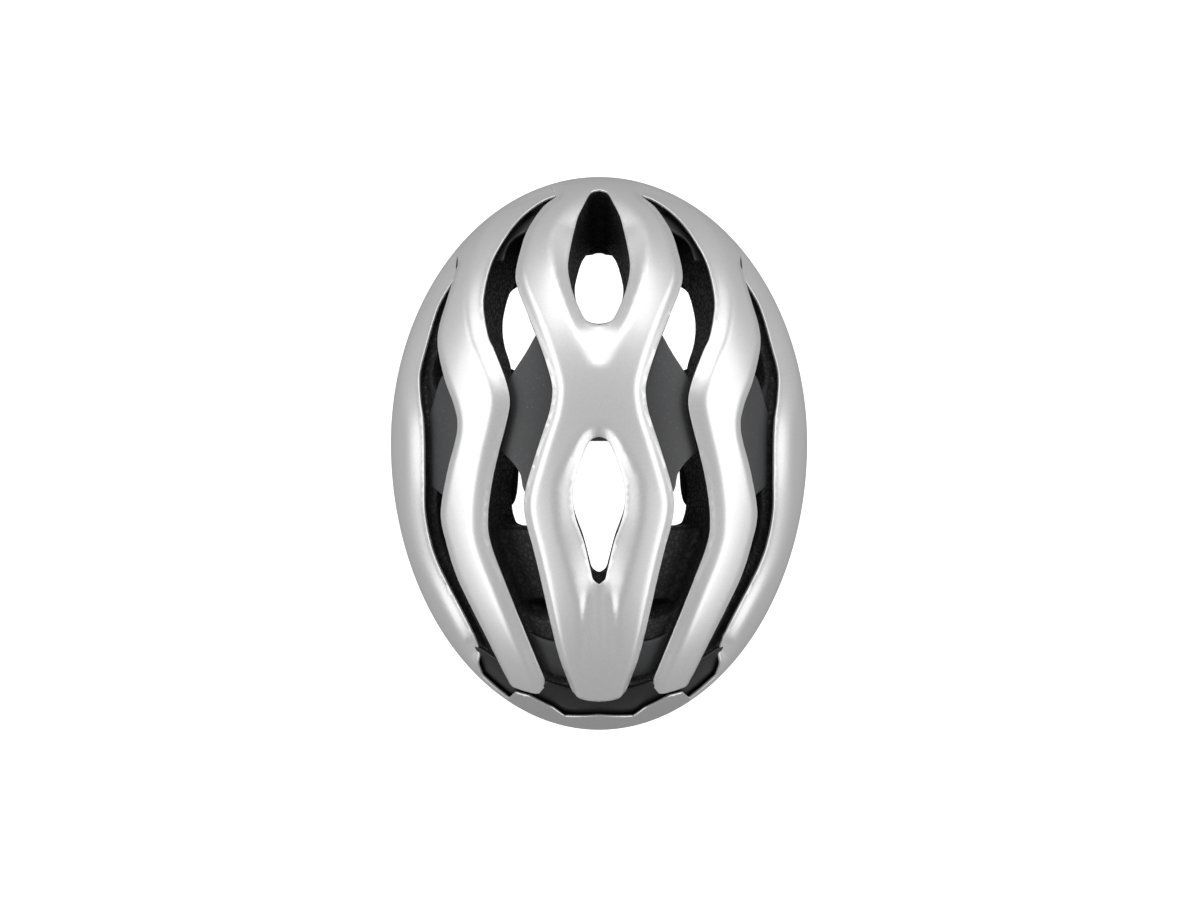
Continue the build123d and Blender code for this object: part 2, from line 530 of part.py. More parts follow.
plug_start = FEMALE_LENGTH + 0.4
with BuildPart() as plug_body:
    with Locations((plug_start + MALE_LENGTH / 2, 0, 0)):
        Box(MALE_LENGTH, 2 * BUCKLE_HALF_WIDTH, 8)
    fillet(plug_body.edges().filter_by(Axis.Z).sort_by(Axis.X)[-2:], 5)
    fillet(plug_body.edges().filter_by(Axis.Y), 1.2)
    with Locations((plug_start + MALE_LENGTH / 2, 0, 0)):
        Box(60, WEB_WIDTH + 1, 4.6, mode=Mode.SUBTRACT)
    with Locations((plug_start + 8, 0, 4), (plug_start + 16, 0, 4)):
        Box(4, WEB_WIDTH + 1, 8, mode=Mode.SUBTRACT)
    for side_y in (-10.4, 10.4):
        with Locations((plug_start + 2, side_y, 0)):
            Box(6.4, 3.8, 5.2, mode=Mode.SUBTRACT)
    with Locations((PRONG_PIVOT, -10.4, 0), (PRONG_PIVOT, 10.4, 0)):
        Cylinder(0.9, 20, mode=Mode.SUBTRACT)
save(at_buckle(plug_body.part), "buckle_plug")

for sign, name in ((1, "buckle_prong_left"), (-1, "buckle_prong_right")):
    with BuildPart() as prong:
        with BuildSketch():
            with BuildLine():
                Polyline((PRONG_PIVOT, sign * 9.0), (PRONG_TIP, sign * 9.0), (PRONG_TIP + 1, sign * 10.2),
                         (PRONG_TIP + 5, sign * 11.5), (PRONG_TIP + 9, sign * 11.2),
                         (PRONG_PIVOT - 3, sign * 11.5),
                         (PRONG_PIVOT, sign * 11.5), close=True)
            make_face()
            with Locations((PRONG_PIVOT, sign * 10.4)):
                Circle(1.8)
                Circle(0.9 + RUNNING_GAP, mode=Mode.SUBTRACT)
        extrude(amount=2.2, both=True)
    save(at_buckle(prong.part), name)

with BuildPart() as prong_pins:
    with Locations((PRONG_PIVOT, -10.4, 0), (PRONG_PIVOT, 10.4, 0)):
        Cylinder(0.9, 7.8)
save(at_buckle(prong_pins.part), "prong_pins")

# Chin pad sleeve round the strap at the bottom, and the keeper ring on the long side
with BuildPart() as chin_pad:
    with BuildLine(Plane.XZ) as pad_line:
        CenterArc(chin_middle, chin_bend, -55, -70)
    pad_start = pad_line.wires()[0] @ 0
    pad_along = pad_line.wires()[0] % 0
    with BuildSketch(Plane(origin=pad_start, x_dir=(0, 1, 0), z_dir=pad_along)):
        RectangleRounded(24, 6, 2.5)
        Rectangle(WEB_WIDTH + 0.2, WEB_THICK + 0.2, mode=Mode.SUBTRACT)
    sweep(path=pad_line.wires()[0])
save(chin_pad.part.moved(Location((0, divider_y, 0))), "chin_pad")

with BuildPart() as keeper:
    with Locations((KEEPER_PLACE, 0, 0)):
        Box(6, WEB_WIDTH + 4, 5.2)
    fillet(keeper.edges().filter_by(Axis.X), 1.6)
    with Locations((KEEPER_PLACE, 0, 0)):
        Box(20, WEB_WIDTH + 0.3, WEB_THICK + 0.3, mode=Mode.SUBTRACT)
save(mirror(at_buckle(keeper.part), about=Plane.YZ), "strap_keeper")
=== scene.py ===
import json

import bpy
import numpy as np
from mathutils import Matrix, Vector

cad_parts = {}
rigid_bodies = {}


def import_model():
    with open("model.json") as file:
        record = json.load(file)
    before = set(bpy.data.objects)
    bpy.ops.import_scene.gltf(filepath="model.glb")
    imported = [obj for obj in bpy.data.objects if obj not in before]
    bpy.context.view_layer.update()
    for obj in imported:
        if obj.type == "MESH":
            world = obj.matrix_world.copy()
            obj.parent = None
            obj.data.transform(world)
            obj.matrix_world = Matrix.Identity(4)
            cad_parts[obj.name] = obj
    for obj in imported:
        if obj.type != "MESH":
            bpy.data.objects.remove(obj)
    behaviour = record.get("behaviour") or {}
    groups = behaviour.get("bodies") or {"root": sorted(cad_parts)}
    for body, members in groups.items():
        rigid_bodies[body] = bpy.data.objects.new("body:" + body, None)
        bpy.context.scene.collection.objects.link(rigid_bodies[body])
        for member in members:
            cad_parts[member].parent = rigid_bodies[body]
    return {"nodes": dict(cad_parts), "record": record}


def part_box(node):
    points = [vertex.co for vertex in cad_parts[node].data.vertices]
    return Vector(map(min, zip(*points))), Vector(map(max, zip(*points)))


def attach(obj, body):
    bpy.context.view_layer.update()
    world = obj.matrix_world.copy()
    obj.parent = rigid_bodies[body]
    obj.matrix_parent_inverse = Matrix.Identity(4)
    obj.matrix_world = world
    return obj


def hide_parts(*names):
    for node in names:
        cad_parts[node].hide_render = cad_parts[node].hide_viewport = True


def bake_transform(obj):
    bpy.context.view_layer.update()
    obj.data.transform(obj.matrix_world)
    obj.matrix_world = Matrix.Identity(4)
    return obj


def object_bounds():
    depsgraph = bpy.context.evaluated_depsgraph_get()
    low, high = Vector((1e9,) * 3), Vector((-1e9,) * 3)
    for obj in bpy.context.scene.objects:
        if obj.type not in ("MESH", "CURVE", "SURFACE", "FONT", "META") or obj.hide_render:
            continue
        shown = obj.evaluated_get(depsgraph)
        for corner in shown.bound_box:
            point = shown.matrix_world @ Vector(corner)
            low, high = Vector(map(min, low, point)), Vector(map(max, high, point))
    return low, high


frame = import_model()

import openvdb
from mathutils import Matrix, Vector
from mathutils.geometry import delaunay_2d_cdt

cad_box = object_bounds()

# Shapes are worked out in millimetres, in the frame's own axes: +Z up, brow at -Y, +X the wearer's left.
MM = 0.001

# The outer surface is four quarter ellipsoids about this centre, as in the CAD.
CENTRE = np.array([0.0, -5.0, 42.0])
HALF_WIDTH, BROW_REACH, TAIL_REACH = 107.5, 137.5, 148.0
CROWN_RISE, KEEL_DEPTH = 106.0, 92.0
HEAD_CENTRE = np.array([0.0, -7.0, 12.0])
HEAD_HALF_WIDTH, HEAD_FRONT, HEAD_REAR, HEAD_RISE, HEAD_DROP = 82.0, 106.0, 104.0, 102.0, 400.0
RIM = np.array([(-150, 33), (-128, 27), (-100, 16), (-70, 6), (-45, 2), (-15, 4), (15, 12),
                (45, 12), (75, 3), (100, -4), (125, -2), (150, 8)], float)
LOW_EDGE = 10.5       # how far above the rim line the shells end, behind the lower wrap

SKIN_STEP = 1.7       # size of the triangles of a skin
SKIN_THICK = 1.5
FOAM_STEP = 1.25      # grid of the foam
LIP = 0.45            # radius of a skin's rolled edge
FOAM_GAP = 0.1        # between a skin and the foam below it
FLANK_DROP = 4.2      # how far a rib's flank falls to its edge
FRONT_DISH_DEPTH, REAR_DISH_DEPTH, GROOVE_DEPTH = 5.0, 4.4, 1.1
CHANNEL_DEPTH, TAIL_DEPTH = 9.0, 3.0
SIDES = (("left", False), ("right", True))   # the right side is the left one mirrored


# ---- outlines

def smooth(points, step=2.0):
    """Points along a Catmull-Rom curve through the given points, ends included."""
    p = np.array(points, float)
    p = np.vstack([2 * p[0] - p[1], p, 2 * p[-1] - p[-2]])
    out = []
    for i in range(1, len(p) - 2):
        a, b, c, d = p[i - 1:i + 3]
        count = max(2, int(np.linalg.norm(c - b) / step))
        t = np.linspace(0, 1, count, endpoint=False)[:, None]
        out.append(0.5 * (2 * b + (c - a) * t + (2 * a - 5 * b + 4 * c - d) * t ** 2
                          + (3 * b - a - 3 * c + d) * t ** 3))
    return np.vstack(out + [p[-2][None]])


def curves(*lines):
    """Soft curves through each list of points, one after the other."""
    return np.vstack([smooth(line) for line in lines])


def both_sides(half):
    """A closed outline from its left half, which starts and ends on the middle line."""
    right = half[::-1] * np.array([-1, 1])
    keep = right[:, 0] < -1e-6
    return np.vstack([half, right[keep]])


def resample(loop, step, closed=True):
    """The same line with its long stretches cut into steps."""
    ends = np.roll(loop, -1, axis=0) if closed else loop[1:]
    out = []
    for a, b in zip(loop, ends):
        count = max(1, int(round(np.linalg.norm(b - a) / step)))
        out.append(a + (b - a) * np.linspace(0, 1, count, endpoint=False)[:, None])
    if not closed:
        out.append(loop[-1:])
    return np.vstack(out)


# Ribs in plan, wearer's left, brow to tail
CENTRE_EDGE = smooth([(22.8, -135), (29.4, -129.6), (34.7, -122.3), (38.6, -115), (41.3, -106.5), (43.9, -94),
                      (42.6, -85), (36, -68.7), (30.5, -55), (26.4, -43), (24.2, -33), (25.5, -22), (28, -14),
                      (33, 1), (37.6, 16), (39.2, 26), (38, 36), (35, 47), (31, 63), (22, 102), (15.5, 121)])
CENTRE_TAIL = np.array([(14.2, 124), (7, 126.3), (0, 127)], float)
BROW_JOIN = 24.0
MID_INNER = smooth([(23.5, -136), (30, -133.5), (38, -128), (44.5, -121.6), (51, -112.4), (57.5, -100),
                    (61, -86), (61.6, -75), (59, -61), (55.5, -53), (49.6, -38), (47.3, -27), (49, -16),
                    (53.5, 1), (57, 17), (58.9, 33), (57.5, 47), (48.5, 71), (36, 102), (29.5, 118)])
MID_TAIL = np.array([(28.6, 121.5), (31, 123.6), (39, 121.6), (46.6, 119), (51.5, 109.5)], float)
MID_OUTER = smooth([(51.5, 109.5), (59, 94), (67, 78), (74, 63), (79, 47), (82, 31), (78.5, 10), (73.3, -11),
                    (74.5, -23), (80, -38), (83.8, -55), (83, -66), (79, -80), (73.8, -98)])
BROW_SIDE = smooth([(73.8, -98), (71, -105), (67, -111), (60.4, -119.6), (51, -126.4)])
SIDE_INNER = smooth([(73.8, -98), (78, -91), (86.5, -76), (92.5, -55), (95.8, -41), (95.3, -28), (93.3, -13),
                     (92.9, 12), (92.8, 30), (90, 46), (85, 60), (72.5, 84), (66.6, 96)])
SIDE_TAIL = np.array([(66.3, 98), (63.7, 103.6), (60.4, 114.7), (46.5, 126.6)], float)
REAR_UPPER = np.array([(0, 135), (18, 135.4), (24, 131), (36, 124.8), (43, 123.2), (46.5, 126.6)], float)
TAIL_UPPER = np.array([(0, 124), (14, 121), (27, 117), (30, 121), (47, 115), (50, 107), (60, 101), (66, 98),
                       (66, 104), (62, 115.5), (48, 128), (43, 127), (36, 128.5), (24, 134.5), (18, 138.5),
                       (0, 138.5)], float)
FRONT_VENT = smooth([(0, -135.2), (4.4, -134), (8, -129), (12, -122), (15, -111), (16.8, -98), (14.8, -86),
                     (11, -76), (7.5, -69.5), (4, -67.3), (0, -66.6)], 1.5)
FRONT_DISH = smooth([(0, -43.6), (4.5, -44.9), (7.3, -48.5), (10.3, -56), (17.4, -75), (22, -89),
                     (24.5, -102), (24.3, -112), (19, -123), (8, -134)])
REAR_VENT = smooth([(0, -8.4), (3.4, -7.4), (6.6, -3.6), (10.4, 6), (13.2, 15), (14, 22.5), (13, 32),
                    (10.5, 40), (8, 47), (4.6, 61), (3.2, 66), (0, 68.6)], 1.5)
REAR_DISH = smooth([(0, -15), (6, -12), (13, -2), (19, 8), (22, 18), (20.5, 39), (13, 67), (8, 88), (5, 101),
                    (0, 104)])


# ---- surfaces

def unit(vectors):
    return vectors / np.maximum(np.linalg.norm(vectors, axis=1), 1e-9)[:, None]


def semis(side_y, side_z, inset=0.0):
    """The three semi-axes for points on those sides of the centre."""
    length = np.where(side_y > 0, TAIL_REACH, BROW_REACH)
    height = np.where(side_z > 0, CROWN_RISE, KEEL_DEPTH)
    return np.stack([np.full(np.shape(length), HALF_WIDTH), length, height], -1) - inset


def over(plan, inset=0.0):
    """Unit directions from the centre, in ellipsoid proportion, to plan points on the upper surface."""
    plan = np.asarray(plan, float)
    offset = plan - CENTRE[:2]
    axes = semis(offset[:, 1], np.ones(len(plan)), inset)
    d = offset / axes[:, :2]
    rise = np.sqrt(np.clip(1 - (d ** 2).sum(1), 0, None))
    over_edge = np.maximum(np.linalg.norm(d, axis=1), 1)
    return np.column_stack([d / over_edge[:, None], rise])


def below(points):
    """Unit directions to points given with a height as well, which are pushed out onto the surface."""
    offset = np.asarray(points, float) - CENTRE
    return unit(offset / semis(offset[:, 1], offset[:, 2]))


def unroll(directions):
    """Directions to a flat map, in radians from the crown."""
    angle = np.arccos(np.clip(directions[:, 2], -1, 1))
    across = np.linalg.norm(directions[:, :2], axis=1)
    return directions[:, :2] * (angle / np.maximum(across, 1e-9))[:, None]


def roll(flat):
    """The flat map back to directions."""
    angle = np.linalg.norm(flat, axis=1)
    return np.column_stack([flat * (np.sin(angle) / np.maximum(angle, 1e-9))[:, None], np.cos(angle)])


def place(directions, inset):
    """Points at an inset below the outer surface, with the surface's normals."""
    axes = semis(directions[:, 1], directions[:, 2])
    normals = unit(directions / axes)
    return CENTRE + directions * axes - normals * np.asarray(inset).reshape(-1, 1), normals


def rim_height(y):
    """Height of the rim line, a soft curve through its points."""
    curve = smooth(RIM)
    return np.interp(y, curve[:, 0], curve[:, 1])


# ---- distances in plan, on a raster

RASTER = 0.75         # the raster covers the left half and a little more
raster_x = np.arange(-6, 116, RASTER)
raster_y = np.arange(-150, 150, RASTER)
raster_points = np.stack(np.meshgrid(raster_x, raster_y, indexing="ij"), -1).reshape(-1, 2)


def line_distance(line, closed=False):
    """Distance from each point of the raster to a line of straight pieces."""
    a = line if closed else line[:-1]
    b = np.roll(line, -1, axis=0) if closed else line[1:]
    along = b - a
    length = np.maximum((along ** 2).sum(1), 1e-12)
    best = np.full(len(raster_points), 1e9)
    for start, step, square in zip(a, along, length):
        t = np.clip(((raster_points - start) @ step) / square, 0, 1)
        gap = raster_points - start - t[:, None] * step
        np.minimum(best, (gap ** 2).sum(1), out=best)
    return np.sqrt(best)


def inside(points, loop):
    """True for each point inside a closed loop."""
    x, y = points.T
    crossings = np.zeros(len(points), bool)
    for (x0, y0), (x1, y1) in zip(loop, np.roll(loop, -1, axis=0)):
        if y0 != y1:
            hit = ((y0 > y) != (y1 > y)) & (x < (x1 - x0) * (y - y0) / (y1 - y0) + x0)
            crossings ^= hit
    return crossings


class PlanField:
    """A value over the plan, kept on the raster of the left half and read at either side."""

    def __init__(self, values, softened=0):
        self.grid = values.reshape(len(raster_x), len(raster_y)).astype(np.float32)
        for _ in range(softened):
            g = np.pad(self.grid, 1, mode="edge")
            g = (g[:-2] + 2 * g[1:-1] + g[2:]) / 4
            self.grid = (g[:, :-2] + 2 * g[:, 1:-1] + g[:, 2:]) / 4

    def __call__(self, x, y):
        gx = np.clip((np.abs(x) - raster_x[0]) / RASTER, 0, len(raster_x) - 1.001)
        gy = np.clip((y - raster_y[0]) / RASTER, 0, len(raster_y) - 1.001)
        ix, iy = gx.astype(np.int32), gy.astype(np.int32)
        fx, fy = gx - ix, gy - iy
        g = self.grid
        return ((g[ix, iy] * (1 - fy) + g[ix, iy + 1] * fy) * (1 - fx)
                + (g[ix + 1, iy] * (1 - fy) + g[ix + 1, iy + 1] * fy) * fx)


def signed(loop):
    """Signed distance to a closed loop, negative inside, as an array over the raster."""
    distance = line_distance(loop, closed=True)
    return np.where(inside(raster_points, loop), -distance, distance)


centre_loop = both_sides(np.vstack([[(0, -160)], [(BROW_JOIN, -160)], [(BROW_JOIN, -138)], CENTRE_EDGE,
                                    CENTRE_TAIL]))
front_vent_loop = both_sides(FRONT_VENT)
rear_vent_loop = both_sides(REAR_VENT)
front_dish_loop = both_sides(np.vstack([FRONT_DISH, [(0, -134)]]))
rear_dish_loop = both_sides(REAR_DISH)
inner_channel_loop = np.vstack([CENTRE_EDGE, [(16.2, 122.7), (27, 119.8)], MID_INNER[::-1]])
outer_channel_loop = np.vstack([MID_OUTER[::-1], [(52.5, 109.8), (61, 104.2)], SIDE_INNER[:0:-1]])

to_centre_edge = line_distance(np.vstack([CENTRE_EDGE, CENTRE_TAIL[:1]]))
to_mid_inner = line_distance(np.vstack([MID_INNER, MID_TAIL[:1]]))
to_mid_outer = line_distance(np.vstack([MID_TAIL[-2:-1], MID_OUTER]))
to_side_inner = line_distance(np.vstack([SIDE_INNER, SIDE_TAIL[:2]]))
to_front_vent = signed(front_vent_loop)
to_rear_vent = signed(rear_vent_loop)
to_front_dish = signed(front_dish_loop)
to_rear_dish = signed(rear_dish_loop)
in_inner = signed(inner_channel_loop)
in_outer = signed(outer_channel_loop)
mid_plan = signed(np.vstack([MID_INNER, MID_TAIL[:-1], MID_OUTER, BROW_SIDE[1:], [(40, -150), (23.5, -150)]]))
near_centre = signed(centre_loop) < 1.5


def soft(t):
    """A smooth step from 0 to 1."""
    return t * t * (3 - 2 * t)


def flank(distance, width, drop=FLANK_DROP):
    """A flat slope from a crease down to the edge, with a short round at the crease."""
    t = np.clip(1 - distance / width, -0.25, 1)
    rounded = np.where(t < 0.12, (t + 0.12).clip(0) ** 2 / 0.48, t)
    return drop * rounded


def dish_share(to_dish, to_vent):
    """From 0 at a dish's crease to 1 at the vent inside it."""
    within = np.clip(-to_dish, 0, None)
    return within / (within + np.clip(to_vent, 0.01, None))


# How far the ribs' skin lies below the outer surface
plan_x, plan_y = raster_points.T
tail_taper = np.interp(plan_y, [20, 110], [1.0, 0.62])
brow_fade = np.interp(plan_y, [-134, -118], [0.0, 1.0])
centre_drop = flank(to_centre_edge, 5.3 * tail_taper)
centre_drop = np.maximum(centre_drop, FRONT_DISH_DEPTH * dish_share(to_front_dish, to_front_vent) * brow_fade)
centre_drop = np.maximum(centre_drop, REAR_DISH_DEPTH * dish_share(to_rear_dish, to_rear_vent))

# Two grooves run on from the rear vent and leave a flat strip between them
behind = np.clip((plan_y - 70) / 5, 0, 1) * np.clip((112 - plan_y) / 34, 0, 1)
strip_half = np.interp(plan_y, [70, 93, 112], [4.6, 6.4, 7.5])
groove = np.clip(1 - np.abs(np.abs(plan_x) - strip_half - 1.6) / 2.4, 0, 1)
centre_drop = centre_drop + GROOVE_DEPTH * behind * soft(groove)
mid_drop = np.maximum(flank(to_mid_inner, 6.6 * tail_taper), flank(to_mid_outer, 3.0 * tail_taper, 2.4))
side_drop = flank(to_side_inner, 5.5 * tail_taper)
centre_field = PlanField(centre_drop, softened=3)
mid_field = PlanField(mid_drop, softened=2)
side_field = PlanField(side_drop, softened=2)


# ---- mesh helpers

def new_object(name, points, faces):
    """A smooth shaded object from points in millimetres."""
    mesh = bpy.data.meshes.new(name)
    mesh.from_pydata((np.asarray(points) * MM).tolist(), [], [list(map(int, f)) for f in faces])
    mesh.validate()
    mesh.update()
    mesh.shade_smooth()
    obj = bpy.data.objects.new(name, mesh)
    bpy.context.scene.collection.objects.link(obj)
    return obj


def within(points, loops):
    """True for each point inside the first loop and outside the others."""
    keep = inside(points, loops[0])
    for hole in loops[1:]:
        keep &= ~inside(points, hole)
    return keep


def fill(flat_loops, flat_creases, step):
    """Triangles over the region inside the first loop and outside the others, with the creases as edges."""
    points, edges = [], []
    for line, closed in [(loop, True) for loop in flat_loops] + [(crease, False) for crease in flat_creases]:
        start = len(points)
        points += list(line)
        count = len(line)
        edges += [(start + i, start + (i + 1) % count) for i in range(count if closed else count - 1)]
    fixed = np.array(points)
    low, high = flat_loops[0].min(0), flat_loops[0].max(0)
    xs = np.arange(low[0], high[0] + step, step)
    ys = np.arange(low[1], high[1] + step, step * 0.866)
    grid = np.stack(np.meshgrid(xs, ys, indexing="ij"), -1)
    grid[:, ::2, 0] += step / 2
    grid = grid.reshape(-1, 2)
    grid = grid[within(grid, flat_loops)]
    near = np.full(len(grid), 1e9)
    for start in range(0, len(fixed), 64):
        gap = grid[:, None] - fixed[None, start:start + 64]
        near = np.minimum(near, np.sqrt((gap ** 2).sum(-1)).min(1))
    grid = grid[near > 0.62 * step]
    everything = [Vector(p) for p in np.vstack([fixed, grid])]
    verts, _, faces, _, _, _ = delaunay_2d_cdt(everything, edges, [], 0, 1e-7)
    verts = np.array([tuple(v) for v in verts])
    faces = np.array([f for f in faces if len(f) == 3])
    faces = faces[within(verts[faces].mean(1), flat_loops)]
    a, b, c = verts[faces[:, 0]], verts[faces[:, 1]], verts[faces[:, 2]]
    area = (b[:, 0] - a[:, 0]) * (c[:, 1] - a[:, 1]) - (b[:, 1] - a[:, 1]) * (c[:, 0] - a[:, 0])
    faces[area < 0] = faces[area < 0][:, ::-1]
    faces = faces[np.abs(area) > 1e-12]
    used = np.unique(faces)
    renumber = np.zeros(len(verts), int)
    renumber[used] = np.arange(len(used))
    return verts[used], renumber[faces]


def vertex_normals(points, faces):
    """Normals at the points of a triangle mesh, weighted by area."""
    a, b, c = (points[faces[:, i]] for i in range(3))
    face_normals = np.cross(b - a, c - a)
    normals = np.zeros_like(points)
    for i in range(3):
        np.add.at(normals, faces[:, i], face_normals)
    return unit(normals)


def edge_chains(faces):
    """The open edges of a triangle mesh, in the direction in which their triangles run."""
    directed = np.vstack([faces[:, [0, 1]], faces[:, [1, 2]], faces[:, [2, 0]]])
    there = {tuple(e) for e in directed}
    return np.array([e for e in directed if (e[1], e[0]) not in there])


def thicken(top, faces):
    """A closed skin: the top, a rounded lip all round, and the underside."""
    normals = vertex_normals(top, faces)
    open_edges = edge_chains(faces)
    following = {a: b for a, b in open_edges}
    before = {b: a for a, b in open_edges}
    rim = np.array(sorted(following))
    along = np.array([top[following[v]] - top[before[v]] for v in rim])
    outward = unit(np.cross(along, normals[rim]))
    rings = [top[rim] + LIP * (out * outward - down * normals[rim]) for out, down in ((0.7, 0.3), (1.0, 1.0))]
    rings.append(top[rim] + LIP * outward - (SKIN_THICK - LIP) * normals[rim])
    under = top - SKIN_THICK * normals
    count = len(top)
    points = np.vstack([top] + rings + [under])
    ring_of = {v: i for i, v in enumerate(rim)}
    out_faces = [tuple(f) for f in faces]
    starts = [count + k * len(rim) for k in range(len(rings))]
    under_start = count + len(rings) * len(rim)
    for a, b in open_edges:
        ia, ib = ring_of[a], ring_of[b]
        chain_a = [a] + [s + ia for s in starts] + [under_start + a]
        chain_b = [b] + [s + ib for s in starts] + [under_start + b]
        for k in range(len(chain_a) - 1):
            out_faces.append((chain_b[k], chain_a[k], chain_a[k + 1], chain_b[k + 1]))
    out_faces += [tuple(under_start + f[::-1]) for f in faces]
    return points, out_faces


def skin(name, loops, creases, drop, step=SKIN_STEP, inset=0.0, mirrored=False):
    """A skin over the outer surface, or at an inset below it. The loops, outline first, and the creases are
    lines of directions. drop gives a further depth at each point."""
    flat_loops = [resample(unroll(loop) * HALF_WIDTH, step) for loop in loops]
    flat_creases = [resample(unroll(crease) * HALF_WIDTH, step, closed=False) for crease in creases]
    flat, faces = fill(flat_loops, flat_creases, step)
    directions = roll(flat / HALF_WIDTH)
    surface, _ = place(directions, 0.0)
    top, _ = place(directions, inset + drop(*surface.T))
    points, all_faces = thicken(top, faces)
    if mirrored:
        points = points * np.array([-1, 1, 1])
        all_faces = [f[::-1] for f in all_faces]
    return new_object(name, points, all_faces)


def no_drop(x, y, z):
    return np.zeros(len(x))


def upper_only(field):
    """A plan field that counts only above the widest height, and fades out as the surface turns upright."""
    def value(x, y, z):
        return field(x, y) * np.clip((z - 43) / 14, 0, 1)
    return value


def along_bearing(bearings, heights):
    """Surface points at a height on each bearing round the centre."""
    side_y = np.cos(bearings)
    axes = semis(-side_y, heights - CENTRE[2])
    drop = (heights - CENTRE[2]) / axes[:, 2]
    across = np.sqrt(np.clip(1 - drop ** 2, 0, None))
    return np.column_stack([axes[:, 0] * across * np.sin(bearings),
                            CENTRE[1] - axes[:, 1] * across * side_y, heights])


def rim_line(start, end, count):
    """Directions along the shells' lower edge, between two bearings from the brow."""
    bearings = np.linspace(start, end, count)
    low = np.full(count, -60.0)
    high = np.full(count, 60.0)
    for _ in range(30):
        middle = (low + high) / 2
        at = along_bearing(bearings, middle)
        too_low = at[:, 2] < rim_height(at[:, 1]) + LOW_EDGE
        low = np.where(too_low, middle, low)
        high = np.where(too_low, high, middle)
    return below(along_bearing(bearings, (low + high) / 2))


def on_helmet(obj, node_name):
    """The piece rides the helmet body, in place of that node."""
    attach(obj, "helmet")
    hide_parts(node_name)
    return obj


# ---- shells

# Bearings of the joints between shells, from their plan x and the rim's half width at the brow and the nape
BROW_HALF, NAPE_HALF = 105.0, 107.0
brow_bearing, side_bearing = np.arcsin(BROW_JOIN / BROW_HALF), np.arcsin(BROW_SIDE[-1, 0] / BROW_HALF)
nape_bearing = np.pi - np.arcsin(SIDE_TAIL[-1, 0] / NAPE_HALF)

# Centre shell: both its sides, with the two vents as holes
centre_outline = np.vstack([rim_line(-brow_bearing, brow_bearing, 30), over(CENTRE_EDGE), over(CENTRE_TAIL),
                            over(CENTRE_TAIL[:-1][::-1] * [-1, 1]), over(CENTRE_EDGE[::-1] * [-1, 1])])
rear_crease = np.vstack([rear_dish_loop, rear_dish_loop[:1]])
on_helmet(skin("shell_centre", [centre_outline, over(front_vent_loop), over(rear_vent_loop)],
               [over(both_sides(FRONT_DISH)), over(rear_crease)], upper_only(centre_field)), "centre_shell")

# Mid shells, down to the wrap at the brow, and side shells, from the side rib down to the wrap
mid_loop = np.vstack([over(MID_INNER), over(MID_TAIL[:-1]), over(MID_OUTER), over(BROW_SIDE[1:]),
                      rim_line(side_bearing, brow_bearing, 24)])
side_loop = np.vstack([over(BROW_SIDE[::-1]), over(SIDE_INNER[1:]), over(SIDE_TAIL[1:]),
                       rim_line(nape_bearing, side_bearing, 90)])
for name, loop, field in (("mid", mid_loop, mid_field), ("side", side_loop, side_field)):
    for side, flip in SIDES:
        shell = skin(f"shell_{name}_{side}", [loop], [], upper_only(field), mirrored=flip)
        on_helmet(shell, f"{name}_shell_{side}")

# Rear shell and the tail panel
rear_loop = np.vstack([over(REAR_UPPER[::-1]), over(REAR_UPPER[1:] * [-1, 1]),
                       rim_line(-nape_bearing + 2 * np.pi, nape_bearing, 40)])
rear_shell = on_helmet(skin("shell_rear", [rear_loop], [], no_drop), "rear_shell")
tail_loop = over(both_sides(TAIL_UPPER), TAIL_DEPTH)
tail_panel = on_helmet(skin("tail_panel_skin", [tail_loop], [], no_drop, inset=TAIL_DEPTH), "tail_panel")

# Bridges: dark skins sunk between the ribs. Their outlines are plan points at their own depth.
BRIDGE_ZONES = {
    "front_bridge": [
        smooth([(27, -131), (34, -122.8), (42, -118.4), (49.8, -112.5), (53.4, -106.6), (57, -97)]),
        smooth([(50, -98), (48.4, -104.5), (45, -109.4), (38.7, -113.3), (30, -118.5), (22, -124)])],
    "crown_bridge": [curves([(25, -64), (30.5, -61), (37, -50), (47, -34.6), (51, -26)],
                            [(52, -2.6), (49, -0.6), (43.5, 4.6), (39.5, 10.6), (38.5, 16.5), (36, 22)]),
                     [(28, 18), (22, -4), (20, -30)]],
    "crown_side_bridge": [smooth([(76, -42), (80.7, -37.8), (85, -24.3), (88.6, -12.5), (90.2, -2),
                                  (90.2, 11.2), (80.7, 20.1), (74, 26)]),
                          [(70, 10), (68, -12), (71, -32)]],
    "rear_bridge": [smooth([(46, 84), (40, 89), (31, 93.4), (24.5, 95.3), (18, 96)]),
                    [(10, 114), (16, 121), (22, 121.2), (27, 119.6), (34, 119), (40, 104)]],
    "rear_side_bridge": [smooth([(76, 72), (72.3, 76), (66, 79), (56, 84), (50, 92)]),
                         [(46, 108), (52, 110), (61, 104.6), (66, 99), (72, 88)]],
}
for name, lines in BRIDGE_ZONES.items():
    zone = over(np.vstack(lines), CHANNEL_DEPTH)
    for side, flip in SIDES:
        bridge = skin(f"{name}_skin_{side}", [zone], [], no_drop, 2.2, CHANNEL_DEPTH, mirrored=flip)
        on_helmet(bridge, f"{name}_{side}")


# ---- foam liner

MIDDLE = 4            # the grid's column at x = 0
grid_x = np.arange(-MIDDLE * FOAM_STEP, 110, FOAM_STEP)
grid_y = np.arange(-146, 147, FOAM_STEP)
grid_z = np.arange(-9, 150, FOAM_STEP)
X, Y, Z = np.meshgrid(*(g.astype(np.float32) for g in (grid_x, grid_y, grid_z)), indexing="ij")


